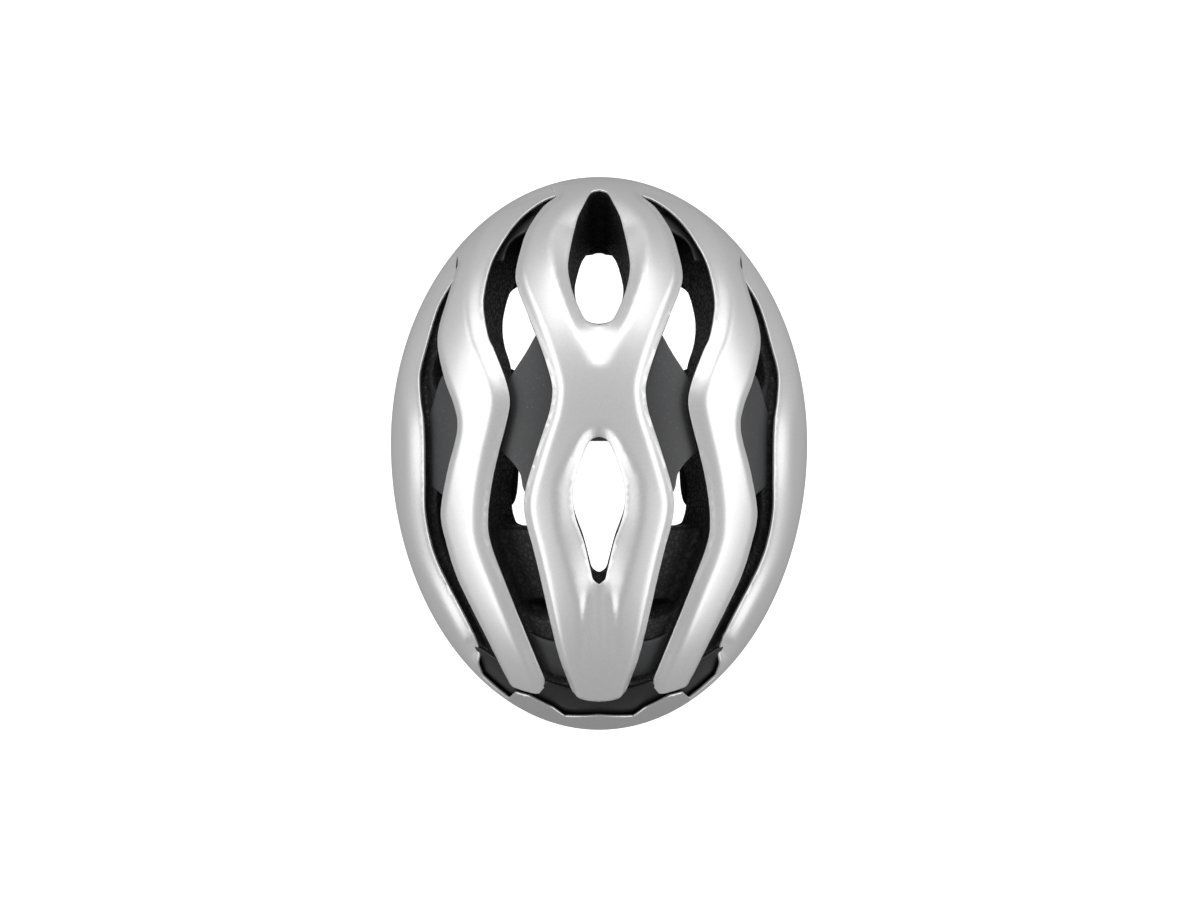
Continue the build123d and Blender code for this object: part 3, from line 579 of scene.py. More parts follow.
def egg_distance(centre, half_width, front, rear, rise, drop):
    """Distance to an egg of quarter ellipsoids, nearly exact close to it, over the whole grid."""
    y, z = Y - centre[1], Z - centre[2]
    length, height = np.where(y > 0, rear, front), np.where(z > 0, rise, drop)
    px, py, pz = X / half_width, y / length, z / height
    k0 = np.sqrt(px ** 2 + py ** 2 + pz ** 2)
    k1 = np.sqrt((px / half_width) ** 2 + (py / length) ** 2 + (pz / height) ** 2)
    return k0 * (k0 - 1) / np.maximum(k1, 1e-9)


def seen_from(focus):
    """Plan x and y where the line from a focus through each grid point meets the surface, and the scale."""
    fx, fy, fz = focus
    dx, dy, dz = X - fx, Y - fy, Z - fz
    length = np.sqrt(dx ** 2 + dy ** 2 + dz ** 2) + 1e-6
    dx, dy, dz = dx / length, dy / length, dz / length
    hits = []
    for reach in (TAIL_REACH, BROW_REACH):
        ox, oy, oz = fx / HALF_WIDTH, (fy - CENTRE[1]) / reach, (fz - CENTRE[2]) / CROWN_RISE
        ux, uy, uz = dx / HALF_WIDTH, dy / reach, dz / CROWN_RISE
        a = ux ** 2 + uy ** 2 + uz ** 2
        b = ox * ux + oy * uy + oz * uz
        c = ox ** 2 + oy ** 2 + oz ** 2 - 1
        t = (-b + np.sqrt(np.maximum(b ** 2 - a * c, 0))) / a
        hits.append((fx + t * dx, fy + t * dy, length / t))
    at_tail, at_brow = hits
    use_brow = at_brow[1] < CENTRE[1]
    return tuple(np.where(use_brow, brow, tail) for brow, tail in zip(at_brow, at_tail))


def cut_through(plan_distance, focus):
    """Distance to a hole whose walls run to a focus, from signed plan distances, negative inside the hole."""
    hit_x, hit_y, share = seen_from(focus)
    value = PlanField(plan_distance)(hit_x, hit_y) * share
    return np.where((Z > focus[2] + 4) & (share > 0.05), value, 20.0)


def round_max(a, b, radius):
    """Intersection of two solids with a rounded edge."""
    u, v = np.maximum(a + radius, 0), np.maximum(b + radius, 0)
    return np.minimum(-radius, np.maximum(a, b)) + np.sqrt(u ** 2 + v ** 2)


outer = egg_distance(CENTRE, HALF_WIDTH, BROW_REACH, TAIL_REACH, CROWN_RISE, KEEL_DEPTH)
hollow = egg_distance(HEAD_CENTRE, HEAD_HALF_WIDTH, HEAD_FRONT, HEAD_REAR, HEAD_RISE, HEAD_DROP)

# The foam follows the ribs' skins a little below them
hit_x, hit_y, _ = seen_from((0.0, -5.0, 36.0))
rib_drop = np.where(near_centre, centre_drop, np.where(mid_plan < 1.5, mid_drop, side_drop))
lowered = PlanField(rib_drop)(hit_x, hit_y) * np.clip((Z - 43) / 14, 0, 1)
foam = outer + SKIN_THICK + FOAM_GAP + lowered

CHANNEL_FOCUS = (0, -5, 10)
channel_floor = -(outer + CHANNEL_DEPTH + SKIN_THICK + 2 * FOAM_GAP)
inner_channel = round_max(cut_through(in_inner, CHANNEL_FOCUS), channel_floor, 2.0)
outer_channel = round_max(cut_through(in_outer, CHANNEL_FOCUS), channel_floor, 2.0)
tail_space = np.maximum(cut_through(signed(both_sides(TAIL_UPPER)), CHANNEL_FOCUS),
                        -(outer + TAIL_DEPTH + SKIN_THICK + FOAM_GAP))

# Slots through the foam beside the ribs. The first point lists follow the rib towards the middle.
CROWN_SLOT = curves([(22.8, -132), (34.7, -122.3), (41.3, -106.5), (43.9, -94), (36, -68.7), (31.5, -57.5),
                     (31.5, -54)],
                    [(40, -40), (50.5, -36), (55.5, -51), (59.5, -62), (61.6, -75), (60.5, -88), (57.5, -100),
                     (51, -112.4), (38, -128)])
REAR_SLOT = curves([(44.5, 6), (40.5, 14), (39.2, 26), (38, 36), (35, 47), (31, 63), (26.2, 84), (24.5, 91)],
                   [(30, 93), (40, 87.5), (48.5, 71), (57.5, 47), (58.9, 33), (57, 17), (53.5, 1), (51, -2)])
FRONT_SIDE_SLOT = curves([(75.5, -95), (79, -80), (83, -66), (83.8, -55), (81.5, -42)],
                         [(85, -27), (92, -33), (94.6, -41), (91.5, -55), (85.5, -76), (78, -90)])
REAR_SIDE_SLOT = curves([(83, 20), (82, 31), (79, 47), (74, 63), (68, 76)],
                        [(74, 80), (84.5, 60), (89.5, 46), (91.5, 30), (90.5, 14)])
crown_slot = cut_through(signed(CROWN_SLOT), (0, -28, -55))

# The rear slot ends on a ledge between Y 36 and 76 and goes right through elsewhere
LEDGE_DEPTH, RIGHT_THROUGH = 19, 70
ledge_depth = np.interp(grid_y, [34, 38, 74, 78], [RIGHT_THROUGH, LEDGE_DEPTH, LEDGE_DEPTH, RIGHT_THROUGH])
ledge_depth = ledge_depth.astype(np.float32)[None, :, None]
rear_slot = round_max(cut_through(signed(REAR_SLOT), (4, -2, 14)), -(outer + ledge_depth), 4.0)
front_side_slot = round_max(cut_through(signed(FRONT_SIDE_SLOT), (0, -30, 22)), -(outer + 24), 3.0)
rear_side_slot = round_max(cut_through(signed(REAR_SIDE_SLOT), (0, 0, 22)), -(outer + 22), 3.0)
front_vent = cut_through(to_front_vent, (0, -50, 8))
rear_vent = cut_through(to_rear_vent, (0, -6, -250))
for cut in (inner_channel, outer_channel, tail_space, crown_slot, rear_slot, front_side_slot, rear_side_slot,
            front_vent, rear_vent):
    foam = round_max(foam, -cut, 1.0)
foam = round_max(foam, -hollow, 2.5)
foam = round_max(foam, rim_height(grid_y)[None, :, None].astype(np.float32) - Z, 1.5)


def box_distance(low, high):
    """Distance to a box over the whole grid."""
    middle, half = (np.array(low) + high) / 2, (np.array(high) - low) / 2
    return np.maximum(np.maximum(np.abs(X - middle[0]) - half[0], np.abs(Y - middle[1]) - half[1]),
                      np.abs(Z - middle[2]) - half[2])


# Pockets for the moulded anchors. Those of the strap anchors run on downwards, to let the straps out.
TEMPLE_POCKET_X, POCKET_WIDTH, POCKET_GAP, STRAP_WAY_OUT = 74.5, 7.4, 0.3, 8.0
for name in ("front_anchors", "rear_anchors", "temple_anchors"):
    low, high = (np.array(corner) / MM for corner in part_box(name))
    temple = name == "temple_anchors"
    inner_x = TEMPLE_POCKET_X if temple else high[0] - POCKET_WIDTH
    bottom = low[2] - (POCKET_GAP if temple else STRAP_WAY_OUT)
    foam = np.maximum(foam, -box_distance([inner_x, low[1] - POCKET_GAP, bottom], high + POCKET_GAP))

volume = openvdb.FloatGrid(background=5.0)
full = np.concatenate([foam[MIDDLE:][::-1], foam[MIDDLE:]], axis=0)
volume.copyFromArray(np.ascontiguousarray(np.clip(full, -5, 5), dtype=np.float32))
points, triangles, quads = volume.convertToPolygons(isovalue=0.0, adaptivity=0.0)
points = np.asarray(points, float) * FOAM_STEP
points += np.array([-(full.shape[0] - 1) / 2 * FOAM_STEP, grid_y[0], grid_z[0]])
faces = [tuple(f[::-1]) for f in quads] + [tuple(f[::-1]) for f in triangles]
liner = on_helmet(new_object("liner_foam", points, faces), "foam_liner")
del X, Y, Z, foam, full, outer, hollow


# ---- pads

SEAT_GAP = 0.15       # between a pad and what it is glued to


def crowned(at, thickness, channels, count):
    """A crowned, closed pad. at(u, v) gives its seat and the way it swells, for u and v from -1 to 1.
    channels are sewn lines (u0, v0, u1, v1)."""
    u, v = np.meshgrid(np.linspace(-1, 1, count[0]), np.linspace(-1, 1, count[1]), indexing="ij")
    u, v = u.ravel(), v.ravel()
    edge = np.maximum(np.abs(u), np.abs(v))
    round_corner = np.maximum((u ** 6 + v ** 6) ** (1 / 6), 1e-9)
    u, v = u * edge / round_corner, v * edge / round_corner
    seat, way = at(u, v)
    height = 0.22 + 0.78 * (1 - edge ** 5)
    height *= 1 - 0.22 * np.exp(-((edge - 0.86) / 0.035) ** 2)
    for u0, v0, u1, v1 in channels:
        line = np.array([u1 - u0, v1 - v0])
        t = np.clip(((u - u0) * line[0] + (v - v0) * line[1]) / (line @ line), 0, 1)
        gap = np.hypot(u - u0 - t * line[0], (v - v0 - t * line[1]) * 0.6)
        height *= 1 - 0.5 * np.exp(-(gap / 0.035) ** 2)
    bottom = seat + SEAT_GAP * way
    top = seat + (SEAT_GAP + thickness * height)[:, None] * way
    points = np.vstack([top, bottom])
    nu, nv = count
    index = np.arange(nu * nv).reshape(nu, nv)
    faces = []
    for i in range(nu - 1):
        for j in range(nv - 1):
            a, b, c, d = index[i, j], index[i + 1, j], index[i + 1, j + 1], index[i, j + 1]
            faces += [(a, b, c, d), (d + nu * nv, c + nu * nv, b + nu * nv, a + nu * nv)]
    border = list(index[:, 0]) + list(index[-1, 1:]) + list(index[-2::-1, -1]) + list(index[0, -2:0:-1])
    for a, b in zip(border, border[1:] + border[:1]):
        faces.append((b, a, a + nu * nv, b + nu * nv))
    return points, faces


def joined(*meshes):
    """Several point and face lists as one."""
    points, faces = [], []
    for some_points, some_faces in meshes:
        start = sum(len(p) for p in points)
        points.append(some_points)
        faces += [tuple(start + i for i in f) for f in some_faces]
    return np.vstack(points), faces


def flipped(mesh):
    """The mirror image across the middle."""
    points, faces = mesh
    return points * [-1, 1, 1], [f[::-1] for f in faces]


def turned_out(mesh):
    """The same mesh with its faces outward, whichever way its grid ran."""
    points, faces = mesh
    middle = points.mean(0)
    volume = 0.0
    for face in faces:
        first, *others = points[list(face)] - middle
        for b, c in zip(others, others[1:]):
            volume += first @ np.cross(b, c)
    return mesh if volume > 0 else (points, [f[::-1] for f in faces])


def inward(points):
    """Unit normals of the head hollow, towards the head."""
    offset = points - HEAD_CENTRE
    axes = np.stack([np.full(len(points), HEAD_HALF_WIDTH),
                     np.where(offset[:, 1] > 0, HEAD_REAR, HEAD_FRONT),
                     np.where(offset[:, 2] > 0, HEAD_RISE, HEAD_DROP)], -1)
    return unit(-offset / axes ** 2)


def wall_seat(sign, reach, half_width, middle_z, half_height):
    """Seats of a pad on the hollow's front or rear wall."""
    def at(u, v):
        x, z = half_width * u, middle_z + half_height * v
        left_over = 1 - (x / HEAD_HALF_WIDTH) ** 2 - ((z - HEAD_CENTRE[2]) / HEAD_RISE) ** 2
        y = HEAD_CENTRE[1] + sign * reach * np.sqrt(np.clip(left_over, 0, None))
        points = np.column_stack([x, y, z])
        return points, inward(points)
    return at


def roof_seat(middle_x, half_width, middle_y, half_length, slant=0.0):
    """Seats of a pad on the hollow's roof."""
    def at(u, v):
        x, y = middle_x + half_width * u + slant * v, middle_y + half_length * v
        reach = np.where(y > HEAD_CENTRE[1], HEAD_REAR, HEAD_FRONT)
        left_over = 1 - (x / HEAD_HALF_WIDTH) ** 2 - ((y - HEAD_CENTRE[1]) / reach) ** 2
        points = np.column_stack([x, y, HEAD_CENTRE[2] + HEAD_RISE * np.sqrt(np.clip(left_over, 0, None))])
        return points, inward(points)
    return at


BAND_TILT, BAND_PIVOT = np.radians(20.0), np.array([0.0, -45.0, 18.0])
HOUSING_Y, LOBE_X, LOBE_Z = 132.0, 20.0, 20.0


def in_band(points, vectors=False):
    """From the axes of the level fit band to the helmet's."""
    c, s = np.cos(BAND_TILT), np.sin(BAND_TILT)
    turn = np.array([[1, 0, 0], [0, c, s], [0, -s, c]])
    return points @ turn.T + (0 if vectors else BAND_PIVOT)


def on_lobe(sign):
    """Seats of a pad on one lobe of the cradle."""
    def at(u, v):
        flat = np.column_stack([sign * LOBE_X + 8 * u, np.full(len(u), HOUSING_Y), LOBE_Z + 11 * v])
        return in_band(flat), in_band(np.tile([0.0, -1.0, 0.0], (len(u), 1)), vectors=True)
    return at


def soft_piece(name, mesh, node_name, body="helmet"):
    """A padded piece with its look smoothed by one subdivision."""
    obj = new_object(name, *turned_out(mesh))
    subdivide = obj.modifiers.new("smooth", "SUBSURF")
    subdivide.levels = subdivide.render_levels = 1
    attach(obj, body)
    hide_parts(node_name)
    return obj


PAD_THICK, LOBE_PAD_THICK = 4.4, 2.6
brow_pad = crowned(wall_seat(-1, HEAD_FRONT, 57.5, 42.5, 9.3), PAD_THICK,
                   [(u, -0.75, u, 0.75) for u in (-0.66, -0.33, 0.0, 0.33, 0.66)], (120, 24))
crown_pad = crowned(roof_seat(0.0, 18.5, -36.5, 23), PAD_THICK,
                    [(-0.7, v, 0.7, v) for v in (0.33, -0.33)], (40, 48))
rear_pad = crowned(wall_seat(1, HEAD_REAR, 14.5, 58, 17), PAD_THICK, [(-0.7, 0.0, 0.7, 0.0)], (36, 40))
side_pad = crowned(roof_seat(54.5, 13.5, -7.5, 36, slant=1.0), PAD_THICK,
                   [(-0.7, v, 0.7, v) for v in (-0.5, 0.0, 0.5)], (30, 76))
cradle_pads = joined(*(crowned(on_lobe(sign), LOBE_PAD_THICK, [], (24, 30)) for sign in (1, -1)))
pads = [soft_piece("brow_pad_cloth", brow_pad, "brow_pad"),
        soft_piece("crown_pad_cloth", crown_pad, "crown_pad"),
        soft_piece("rear_pad_cloth", rear_pad, "rear_pad"),
        soft_piece("side_pad_cloth_left", side_pad, "side_pad_left"),
        soft_piece("side_pad_cloth_right", flipped(side_pad), "side_pad_right"),
        soft_piece("cradle_pads_cloth", cradle_pads, "cradle_pads", body="cradle")]


# ---- webbing

WEB_WIDTH, WEB_THICK = 15.0, 1.2
DIVIDER = np.array([81.0, -18.0, -50.0])
DIVIDER_HALF = 4.0    # how far above and below its middle the webbing ends inside a divider
JAW_BEND, JAW_BEND_Z, JAW_RUN, LOOP_START = 20.0, -62.0, 72.0, 33.0
SLANT = np.sqrt(0.5)
JAW_START = np.array([DIVIDER[0] - JAW_BEND * (1 - SLANT), DIVIDER[1], JAW_BEND_Z - JAW_BEND * SLANT])
DOWN_JAW = np.array([-SLANT, 0, -SLANT])


def tube(rings):
    """Points and faces of a closed form through rings of points, with a flat cap at each end."""
    count, around = len(rings), len(rings[0])
    faces = []
    for i in range(count - 1):
        for j in range(around):
            a, b = i * around + j, i * around + (j + 1) % around
            faces.append((a, b, b + around, a + around))
    faces.append(tuple(range(around))[::-1])
    faces.append(tuple((count - 1) * around + j for j in range(around)))
    return np.vstack(rings), faces


def ribbon(name, path):
    """Flat webbing along a path, its width along Y, with five soft ribs and a map along its length."""
    path = np.asarray(path, float)
    lengths = np.r_[0, np.cumsum(np.linalg.norm(np.diff(path, axis=0), axis=1))]
    s = np.linspace(0, lengths[-1], max(8, int(lengths[-1] / 1.2)))
    path = np.column_stack([np.interp(s, lengths, path[:, k]) for k in range(3)])
    along = unit(np.gradient(path, axis=0))
    wide = unit([0.0, 1.0, 0.0] - along[:, 1:2] * along)
    flat_way = np.cross(along, wide)
    profile = [(0.5 * WEB_WIDTH * t, 0.5 * WEB_THICK * (0.86 + 0.14 * np.cos(2 * np.pi * t * 5)))
               for t in np.linspace(-1, 1, 25) * 0.965]
    edge = [(0.5 * WEB_WIDTH, 0.0)]
    ring = profile + edge + [(x, -h) for x, h in profile[::-1]] + [(-x, h) for x, h in edge]
    rings = [np.array([here + x * w + h * n for x, h in ring]) for here, w, n in zip(path, wide, flat_way)]
    obj = new_object(name, *turned_out(tube(rings)))
    weave = obj.data.uv_layers.new(name="weave")
    for loop in obj.data.loops:
        i, j = divmod(loop.vertex_index, len(ring))
        weave.data[loop.index].uv = (ring[j][0] / 10, s[i] / 10)
    return obj


def arc(x, z, radius, start, turn):
    """Points of an arc in the dividers' upright plane, in degrees from +X towards +Z."""
    angles = np.radians(np.linspace(start, start + turn, 40))
    return np.array([(x + radius * np.cos(a), DIVIDER[1], z + radius * np.sin(a)) for a in angles])


# Side straps, from an anchor in the foam to the divider. A short curve hangs them free of the rim.
straps = []
ANCHOR_RISE, ANCHOR_X = 8, 85.0
for name, anchor_y, anchor_z, offset, shift in (("front", -40.0, 1.5, -1.0, 0.0),
                                                ("rear", 34.0, 11.0, 1.0, -2.4)):
    drop = anchor_z + ANCHOR_RISE - DIVIDER[2] - DIVIDER_HALF
    lean = (anchor_y - DIVIDER[1] - shift) / drop
    high = np.array([ANCHOR_X, anchor_y + 4 * lean, anchor_z + ANCHOR_RISE])
    low = DIVIDER + [offset, shift, DIVIDER_HALF]
    t = np.linspace(0, 1, 60)[:, None]
    bow = np.clip(t - 0.28, 0, 1) * np.clip(0.88 - t, 0, 1) / 0.09
    path = high + (low - high) * t + bow * np.array([1.6, 0, 0])
    for side, mirror in (("left", 1), ("right", -1)):
        web = ribbon(f"{name}_web_{side}", path * [mirror, 1, 1])
        straps.append(on_helmet(web, f"{name}_strap_{side}"))

short_path = np.vstack([[DIVIDER - [0, 0, DIVIDER_HALF]],
                        arc(DIVIDER[0] - JAW_BEND, JAW_BEND_Z, JAW_BEND, 0, -45), [JAW_START + 4 * DOWN_JAW]])
straps.append(on_helmet(ribbon("buckle_web", short_path), "buckle_strap"))

# Chin strap, from the plug's loop under the chin to the right divider
chin_low = JAW_START + JAW_RUN * DOWN_JAW
chin_bend, chin_z = chin_low[0] / SLANT, chin_low[2] + chin_low[0]
chin_path = np.vstack([[JAW_START + LOOP_START * DOWN_JAW], arc(0, chin_z, chin_bend, -45, -90),
                       arc(JAW_BEND - DIVIDER[0], JAW_BEND_Z, JAW_BEND, 225, -45),
                       [(DIVIDER - [0, 0, DIVIDER_HALF]) * [-1, 1, 1]]])
chin_web = ribbon("chin_web", chin_path)
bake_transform(chin_web)
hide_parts("chin_strap")
straps.append(chin_web)

# The chin pad is a stuffed sleeve, pinched at both ends
rings = []
for share in (-1 + 2 * i / 43 for i in range(44)):
    bearing = np.radians(-90 + 34.5 * share)
    outward = np.array([np.cos(bearing), 0, np.sin(bearing)])
    here = np.array([0, DIVIDER[1], chin_z]) + chin_bend * outward
    swell = (1 - abs(share) ** 6) ** 0.5 * 0.55 + 0.45
    pinch = 1 - 0.35 * np.exp(-((abs(share) - 0.86) / 0.04) ** 2)
    ring = []
    for a in 2 * np.pi * np.arange(28) / 28:
        wide = 11.8 * np.sign(np.cos(a)) * abs(np.cos(a)) ** 0.75 * (0.86 + 0.14 * swell)
        deep = (0.9 + 2.0 * swell * pinch) * np.sign(np.sin(a)) * abs(np.sin(a)) ** 0.8
        ring.append(here + wide * np.array([0, 1, 0]) + deep * outward)
    rings.append(np.array(ring))
pads.append(soft_piece("chin_pad_cloth", tube(rings), "chin_pad"))


# ---- materials

def principled(mat):
    return mat.node_tree.nodes["Principled BSDF"].inputs


def material(name, color, roughness, metallic=0.0):
    """A material with a Principled shader, to build on."""
    mat = bpy.data.materials.new(name)
    mat.use_nodes = True
    principled(mat)["Base Color"].default_value = (*color, 1)
    principled(mat)["Roughness"].default_value = roughness
    principled(mat)["Metallic"].default_value = metallic
    return mat


def node(mat, kind, inputs, **settings):
    """A shader node. Each input is a value, or the socket that feeds it."""
    made = mat.node_tree.nodes.new(kind)
    for key, value in settings.items():
        setattr(made, key, value)
    for socket, value in inputs.items():
        if isinstance(value, bpy.types.NodeSocket):
            mat.node_tree.links.new(value, made.inputs[socket])
        else:
            made.inputs[socket].default_value = value
    return made


def maths(mat, operation, *values):
    return node(mat, "ShaderNodeMath", dict(enumerate(values)), operation=operation).outputs[0]


def coordinates(mat):
    """Object coordinates in millimetres, which stay with the piece."""
    where = node(mat, "ShaderNodeTexCoord", {})
    return node(mat, "ShaderNodeMapping", {"Vector": where.outputs["Object"],
                                           "Scale": (1 / MM,) * 3}).outputs["Vector"]


def cells(mat, where, scale, output="Color", **settings):
    """Voronoi cells, as many to a millimetre as scale says."""
    return node(mat, "ShaderNodeTexVoronoi", {"Vector": where, "Scale": scale}, **settings).outputs[output]


def ramp(mat, factor, stops):
    """Colours or greys at places from 0 to 1."""
    made = node(mat, "ShaderNodeValToRGB", {"Fac": factor})
    elements = made.color_ramp.elements
    while len(elements) < len(stops):
        elements.new(0.5)
    for element, (position, color) in zip(elements, stops):
        element.position = position
        element.color = (*color, 1) if isinstance(color, tuple) else (color, color, color, 1)
    return made.outputs["Color"]


def bump(mat, height, strength, distance_mm):
    """Bump on the material's Principled shader."""
    made = node(mat, "ShaderNodeBump", {"Height": height, "Strength": strength, "Distance": distance_mm * MM})
    mat.node_tree.links.new(made.outputs["Normal"], principled(mat)["Normal"])


def drive(mat, socket, output):
    """Feed one socket of the material's Principled shader."""
    mat.node_tree.links.new(output, principled(mat)[socket])


def gloss_shell(name, grey, metallic, flake):
    """Moulded skin with a clear coat over a fine pearl flake."""
    mat = material(name, (grey,) * 3, 0.36, metallic)
    principled(mat)["Coat Weight"].default_value = 0.5
    principled(mat)["Coat Roughness"].default_value = 0.09
    where = coordinates(mat)
    drive(mat, "Base Color", ramp(mat, cells(mat, where, 2.2), [(0.0, grey * (1 - flake)), (0.5, grey),
                                                                (1.0, min(grey * (1 + flake * 0.5), 1.0))]))
    wavy = node(mat, "ShaderNodeTexNoise", {"Vector": where, "Scale": 0.02, "Detail": 2.0})
    bump(mat, wavy.outputs["Fac"], 0.12, 0.5)
    return mat


def speckled(name, dark, light, roughness, share, grain_mm, bump_mm, metallic=0.0):
    """Moulded plastic with a fine speckle of lighter grains and a slight texture."""
    mat = material(name, dark, roughness, metallic)
    where = coordinates(mat)
    drive(mat, "Base Color", ramp(mat, cells(mat, where, 1.0 / grain_mm),
                                  [(0.0, light), (share, dark), (1.0, dark)]))
    grit = node(mat, "ShaderNodeTexNoise", {"Vector": where, "Scale": 1.0 / grain_mm, "Detail": 3.0})
    bump(mat, grit.outputs["Fac"], 0.5, bump_mm)
    return mat


def bead_foam(name):
    """Black bead foam: shiny beads of slightly different greys, with dull seams between them."""
    mat = material(name, (0.012, 0.012, 0.013), 0.6)
    where = coordinates(mat)
    seams = cells(mat, where, 0.36, "Distance", feature="DISTANCE_TO_EDGE")
    drive(mat, "Base Color", ramp(mat, cells(mat, where, 0.36), [(0.0, (0.008, 0.008, 0.009)),
                                                                 (0.6, (0.013, 0.013, 0.014)),
                                                                 (1.0, (0.028, 0.028, 0.029))]))
    drive(mat, "Roughness", ramp(mat, seams, [(0.0, 0.85), (0.2, 0.48)]))
    bump(mat, ramp(mat, seams, [(0.0, 0), (0.28, 1)]), 0.6, 0.35)
    return mat


def cloth(name, color, thread_mm):
    """Cloth whose threads cross in object space, without a UV map."""
    mat = material(name, color, 0.8)
    principled(mat)["Sheen Weight"].default_value = 0.3
    split = node(mat, "ShaderNodeSeparateXYZ", {"Vector": coordinates(mat)})
    waves = [maths(mat, "SINE", maths(mat, "MULTIPLY", split.outputs[axis], 2 * np.pi / thread_mm))
             for axis in "XYZ"]
    both = maths(mat, "ADD", maths(mat, "MULTIPLY", waves[0], waves[1]), waves[2])
    level = node(mat, "ShaderNodeMapRange", {"Value": both, "From Min": -2.0, "From Max": 2.0}).outputs[0]
    shade = [tuple(c * k for c in color) for k in (0.6, 1.5)]
    drive(mat, "Base Color", ramp(mat, level, [(0.2, shade[0]), (0.8, shade[1])]))
    bump(mat, level, 0.6, 0.2)
    return mat


def woven(name, rib_mm, pick_mm):
    """Webbing with a zigzag weave, laid out by the map along its length, which counts centimetres."""
    mat = material(name, (0.02, 0.02, 0.022), 0.62)
    principled(mat)["Sheen Weight"].default_value = 0.35
    web_map = node(mat, "ShaderNodeUVMap", {}, uv_map="weave")
    split = node(mat, "ShaderNodeSeparateXYZ", {"Vector": web_map.outputs["UV"]})
    ribs = maths(mat, "COSINE", maths(mat, "MULTIPLY", split.outputs["X"], 2 * np.pi * 10 / rib_mm))
    along = maths(mat, "MULTIPLY", split.outputs["Y"], 2 * np.pi * 10 / pick_mm)
    picks = maths(mat, "SINE", maths(mat, "MULTIPLY_ADD", ribs, 1.6, along))
    thread = node(mat, "ShaderNodeMapRange", {"Value": picks, "From Min": -1.0, "From Max": 1.0}).outputs[0]
    drive(mat, "Base Color", ramp(mat, thread, [(0.1, (0.010, 0.010, 0.011)), (0.9, (0.034, 0.034, 0.036))]))
    bump(mat, thread, 0.8, 0.18)
    return mat


LOOKS = {
    "shell_white": gloss_shell("pearl_white", 0.93, 0.6, 0.06),
    "shell_silver": gloss_shell("pearl_silver", 0.78, 0.8, 0.12),
    "tail_black": speckled("tail_satin", (0.012, 0.012, 0.013), (0.03, 0.03, 0.03), 0.42, 0.2, 0.9, 0.08),
    "wrap_black": speckled("wrap_satin", (0.014, 0.014, 0.015), (0.035, 0.035, 0.035), 0.5, 0.2, 0.9, 0.1),
    "bridge_grey": speckled("bridge_satin", (0.062, 0.063, 0.066), (0.15, 0.15, 0.155), 0.4, 0.16, 0.55,
                            0.06),
    "nylon": speckled("nylon_moulded", (0.020, 0.020, 0.021), (0.035, 0.035, 0.035), 0.45, 0.3, 0.7, 0.06),
    "rubber": speckled("rubber_grip", (0.016, 0.016, 0.016), (0.03, 0.03, 0.03), 0.75, 0.2, 0.6, 0.05),
    "steel": speckled("steel_pin", (0.45, 0.45, 0.46), (0.55, 0.55, 0.55), 0.3, 0.3, 0.5, 0.02, metallic=1.0),
    "foam": bead_foam("foam_black"),
    "pad": cloth("pad_cloth", (0.022, 0.022, 0.024), 1.3),
    "webbing": woven("webbing_weave", 1.5, 1.7),
}


def dress(obj, slot):
    """Give a piece the material of one of the record's slots."""
    obj.data.materials.clear()
    obj.data.materials.append(LOOKS[slot])


slot_of = {part["node"]: part["material_slot"] for part in frame["record"]["subparts"]}
for name, obj in frame["nodes"].items():
    if obj.type == "MESH":
        obj.data.materials.clear()
        obj.data.materials.append(LOOKS[slot_of[name]])
for obj in bpy.data.objects:
    if obj.name.startswith(("shell_centre", "shell_mid", "shell_side")):
        dress(obj, "shell_white")
    elif "_skin_" in obj.name:
        dress(obj, "bridge_grey")
for piece in pads:
    dress(piece, "pad")
for piece in straps:
    dress(piece, "webbing")
dress(rear_shell, "shell_silver")
dress(tail_panel, "tail_black")
dress(liner, "foam")


# ---- floor, light and camera

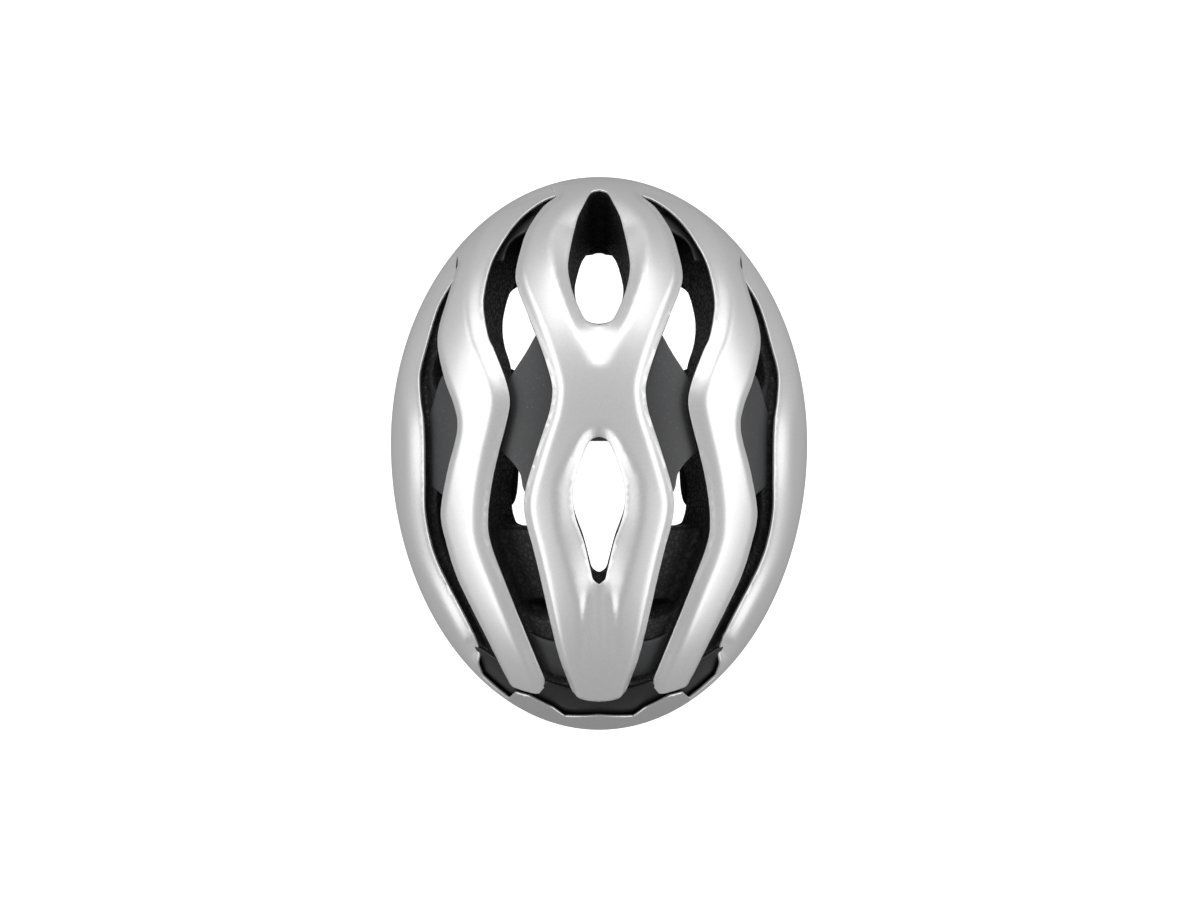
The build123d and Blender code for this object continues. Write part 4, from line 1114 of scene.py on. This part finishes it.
FLOOR_Z = cad_box[0][2] - 0.002
floor_material = material("floor", (0.8, 0.8, 0.8), 0.9)
principled(floor_material)["Emission Color"].default_value = (1, 1, 1, 1)
principled(floor_material)["Emission Strength"].default_value = 0.75
principled(floor_material)["Specular IOR Level"].default_value = 0.0
bpy.ops.mesh.primitive_plane_add(size=30, location=(0, 0, FLOOR_Z))
floor = bpy.context.object
floor.name = "floor"
floor.data.materials.append(floor_material)
# The glossy flanks of the shells mirror the grey world, not the white floor.
floor.visible_glossy = floor.visible_diffuse = False

world = bpy.data.worlds.new("studio")
bpy.context.scene.world = world
world.use_nodes = True
background = world.node_tree.nodes["Background"].inputs
background["Color"].default_value = (1, 1, 1, 1)
background["Strength"].default_value = 0.26
bpy.context.scene.view_settings.view_transform = "Standard"


def softbox(name, place_at, size, power, aim=(0, 0, 0.06)):
    """An area light, width by height, that faces the helmet."""
    light = bpy.data.lights.new(name, "AREA")
    light.shape = "RECTANGLE"
    light.size, light.size_y = size
    light.energy = power
    lamp = bpy.data.objects.new(name, light)
    lamp.location = place_at
    lamp.rotation_euler = (Vector(aim) - Vector(place_at)).to_track_quat("-Z", "Y").to_euler()
    bpy.context.scene.collection.objects.link(lamp)


# Long banks on both sides and one at the brow. Faces that look straight up stay greyer.
softbox("left_bank", (1.4, 0.15, 0.75), (3.4, 1.5), 21)
softbox("right_bank", (-1.4, 0.15, 0.75), (3.4, 1.5), 21)
softbox("brow_bank", (0.0, -1.5, 1.0), (1.8, 1.0), 10)

# The view is from straight above with a long lens, brow at the top.
VIEW_DISTANCE, FIELD_WIDTH = 4.5, 0.6196
FRAME_CENTRE = (-0.0005, -0.0015)
camera = bpy.data.objects.new("camera", bpy.data.cameras.new("camera"))
bpy.context.scene.collection.objects.link(camera)
camera.data.sensor_width = 36.0
camera.data.lens = 36.0 * (VIEW_DISTANCE - CENTRE[2] * MM) / FIELD_WIDTH
camera.data.clip_end = 20
camera.matrix_world = Matrix(((-1, 0, 0, FRAME_CENTRE[0]), (0, -1, 0, FRAME_CENTRE[1]),
                              (0, 0, 1, VIEW_DISTANCE), (0, 0, 0, 1)))
bpy.context.scene.camera = camera
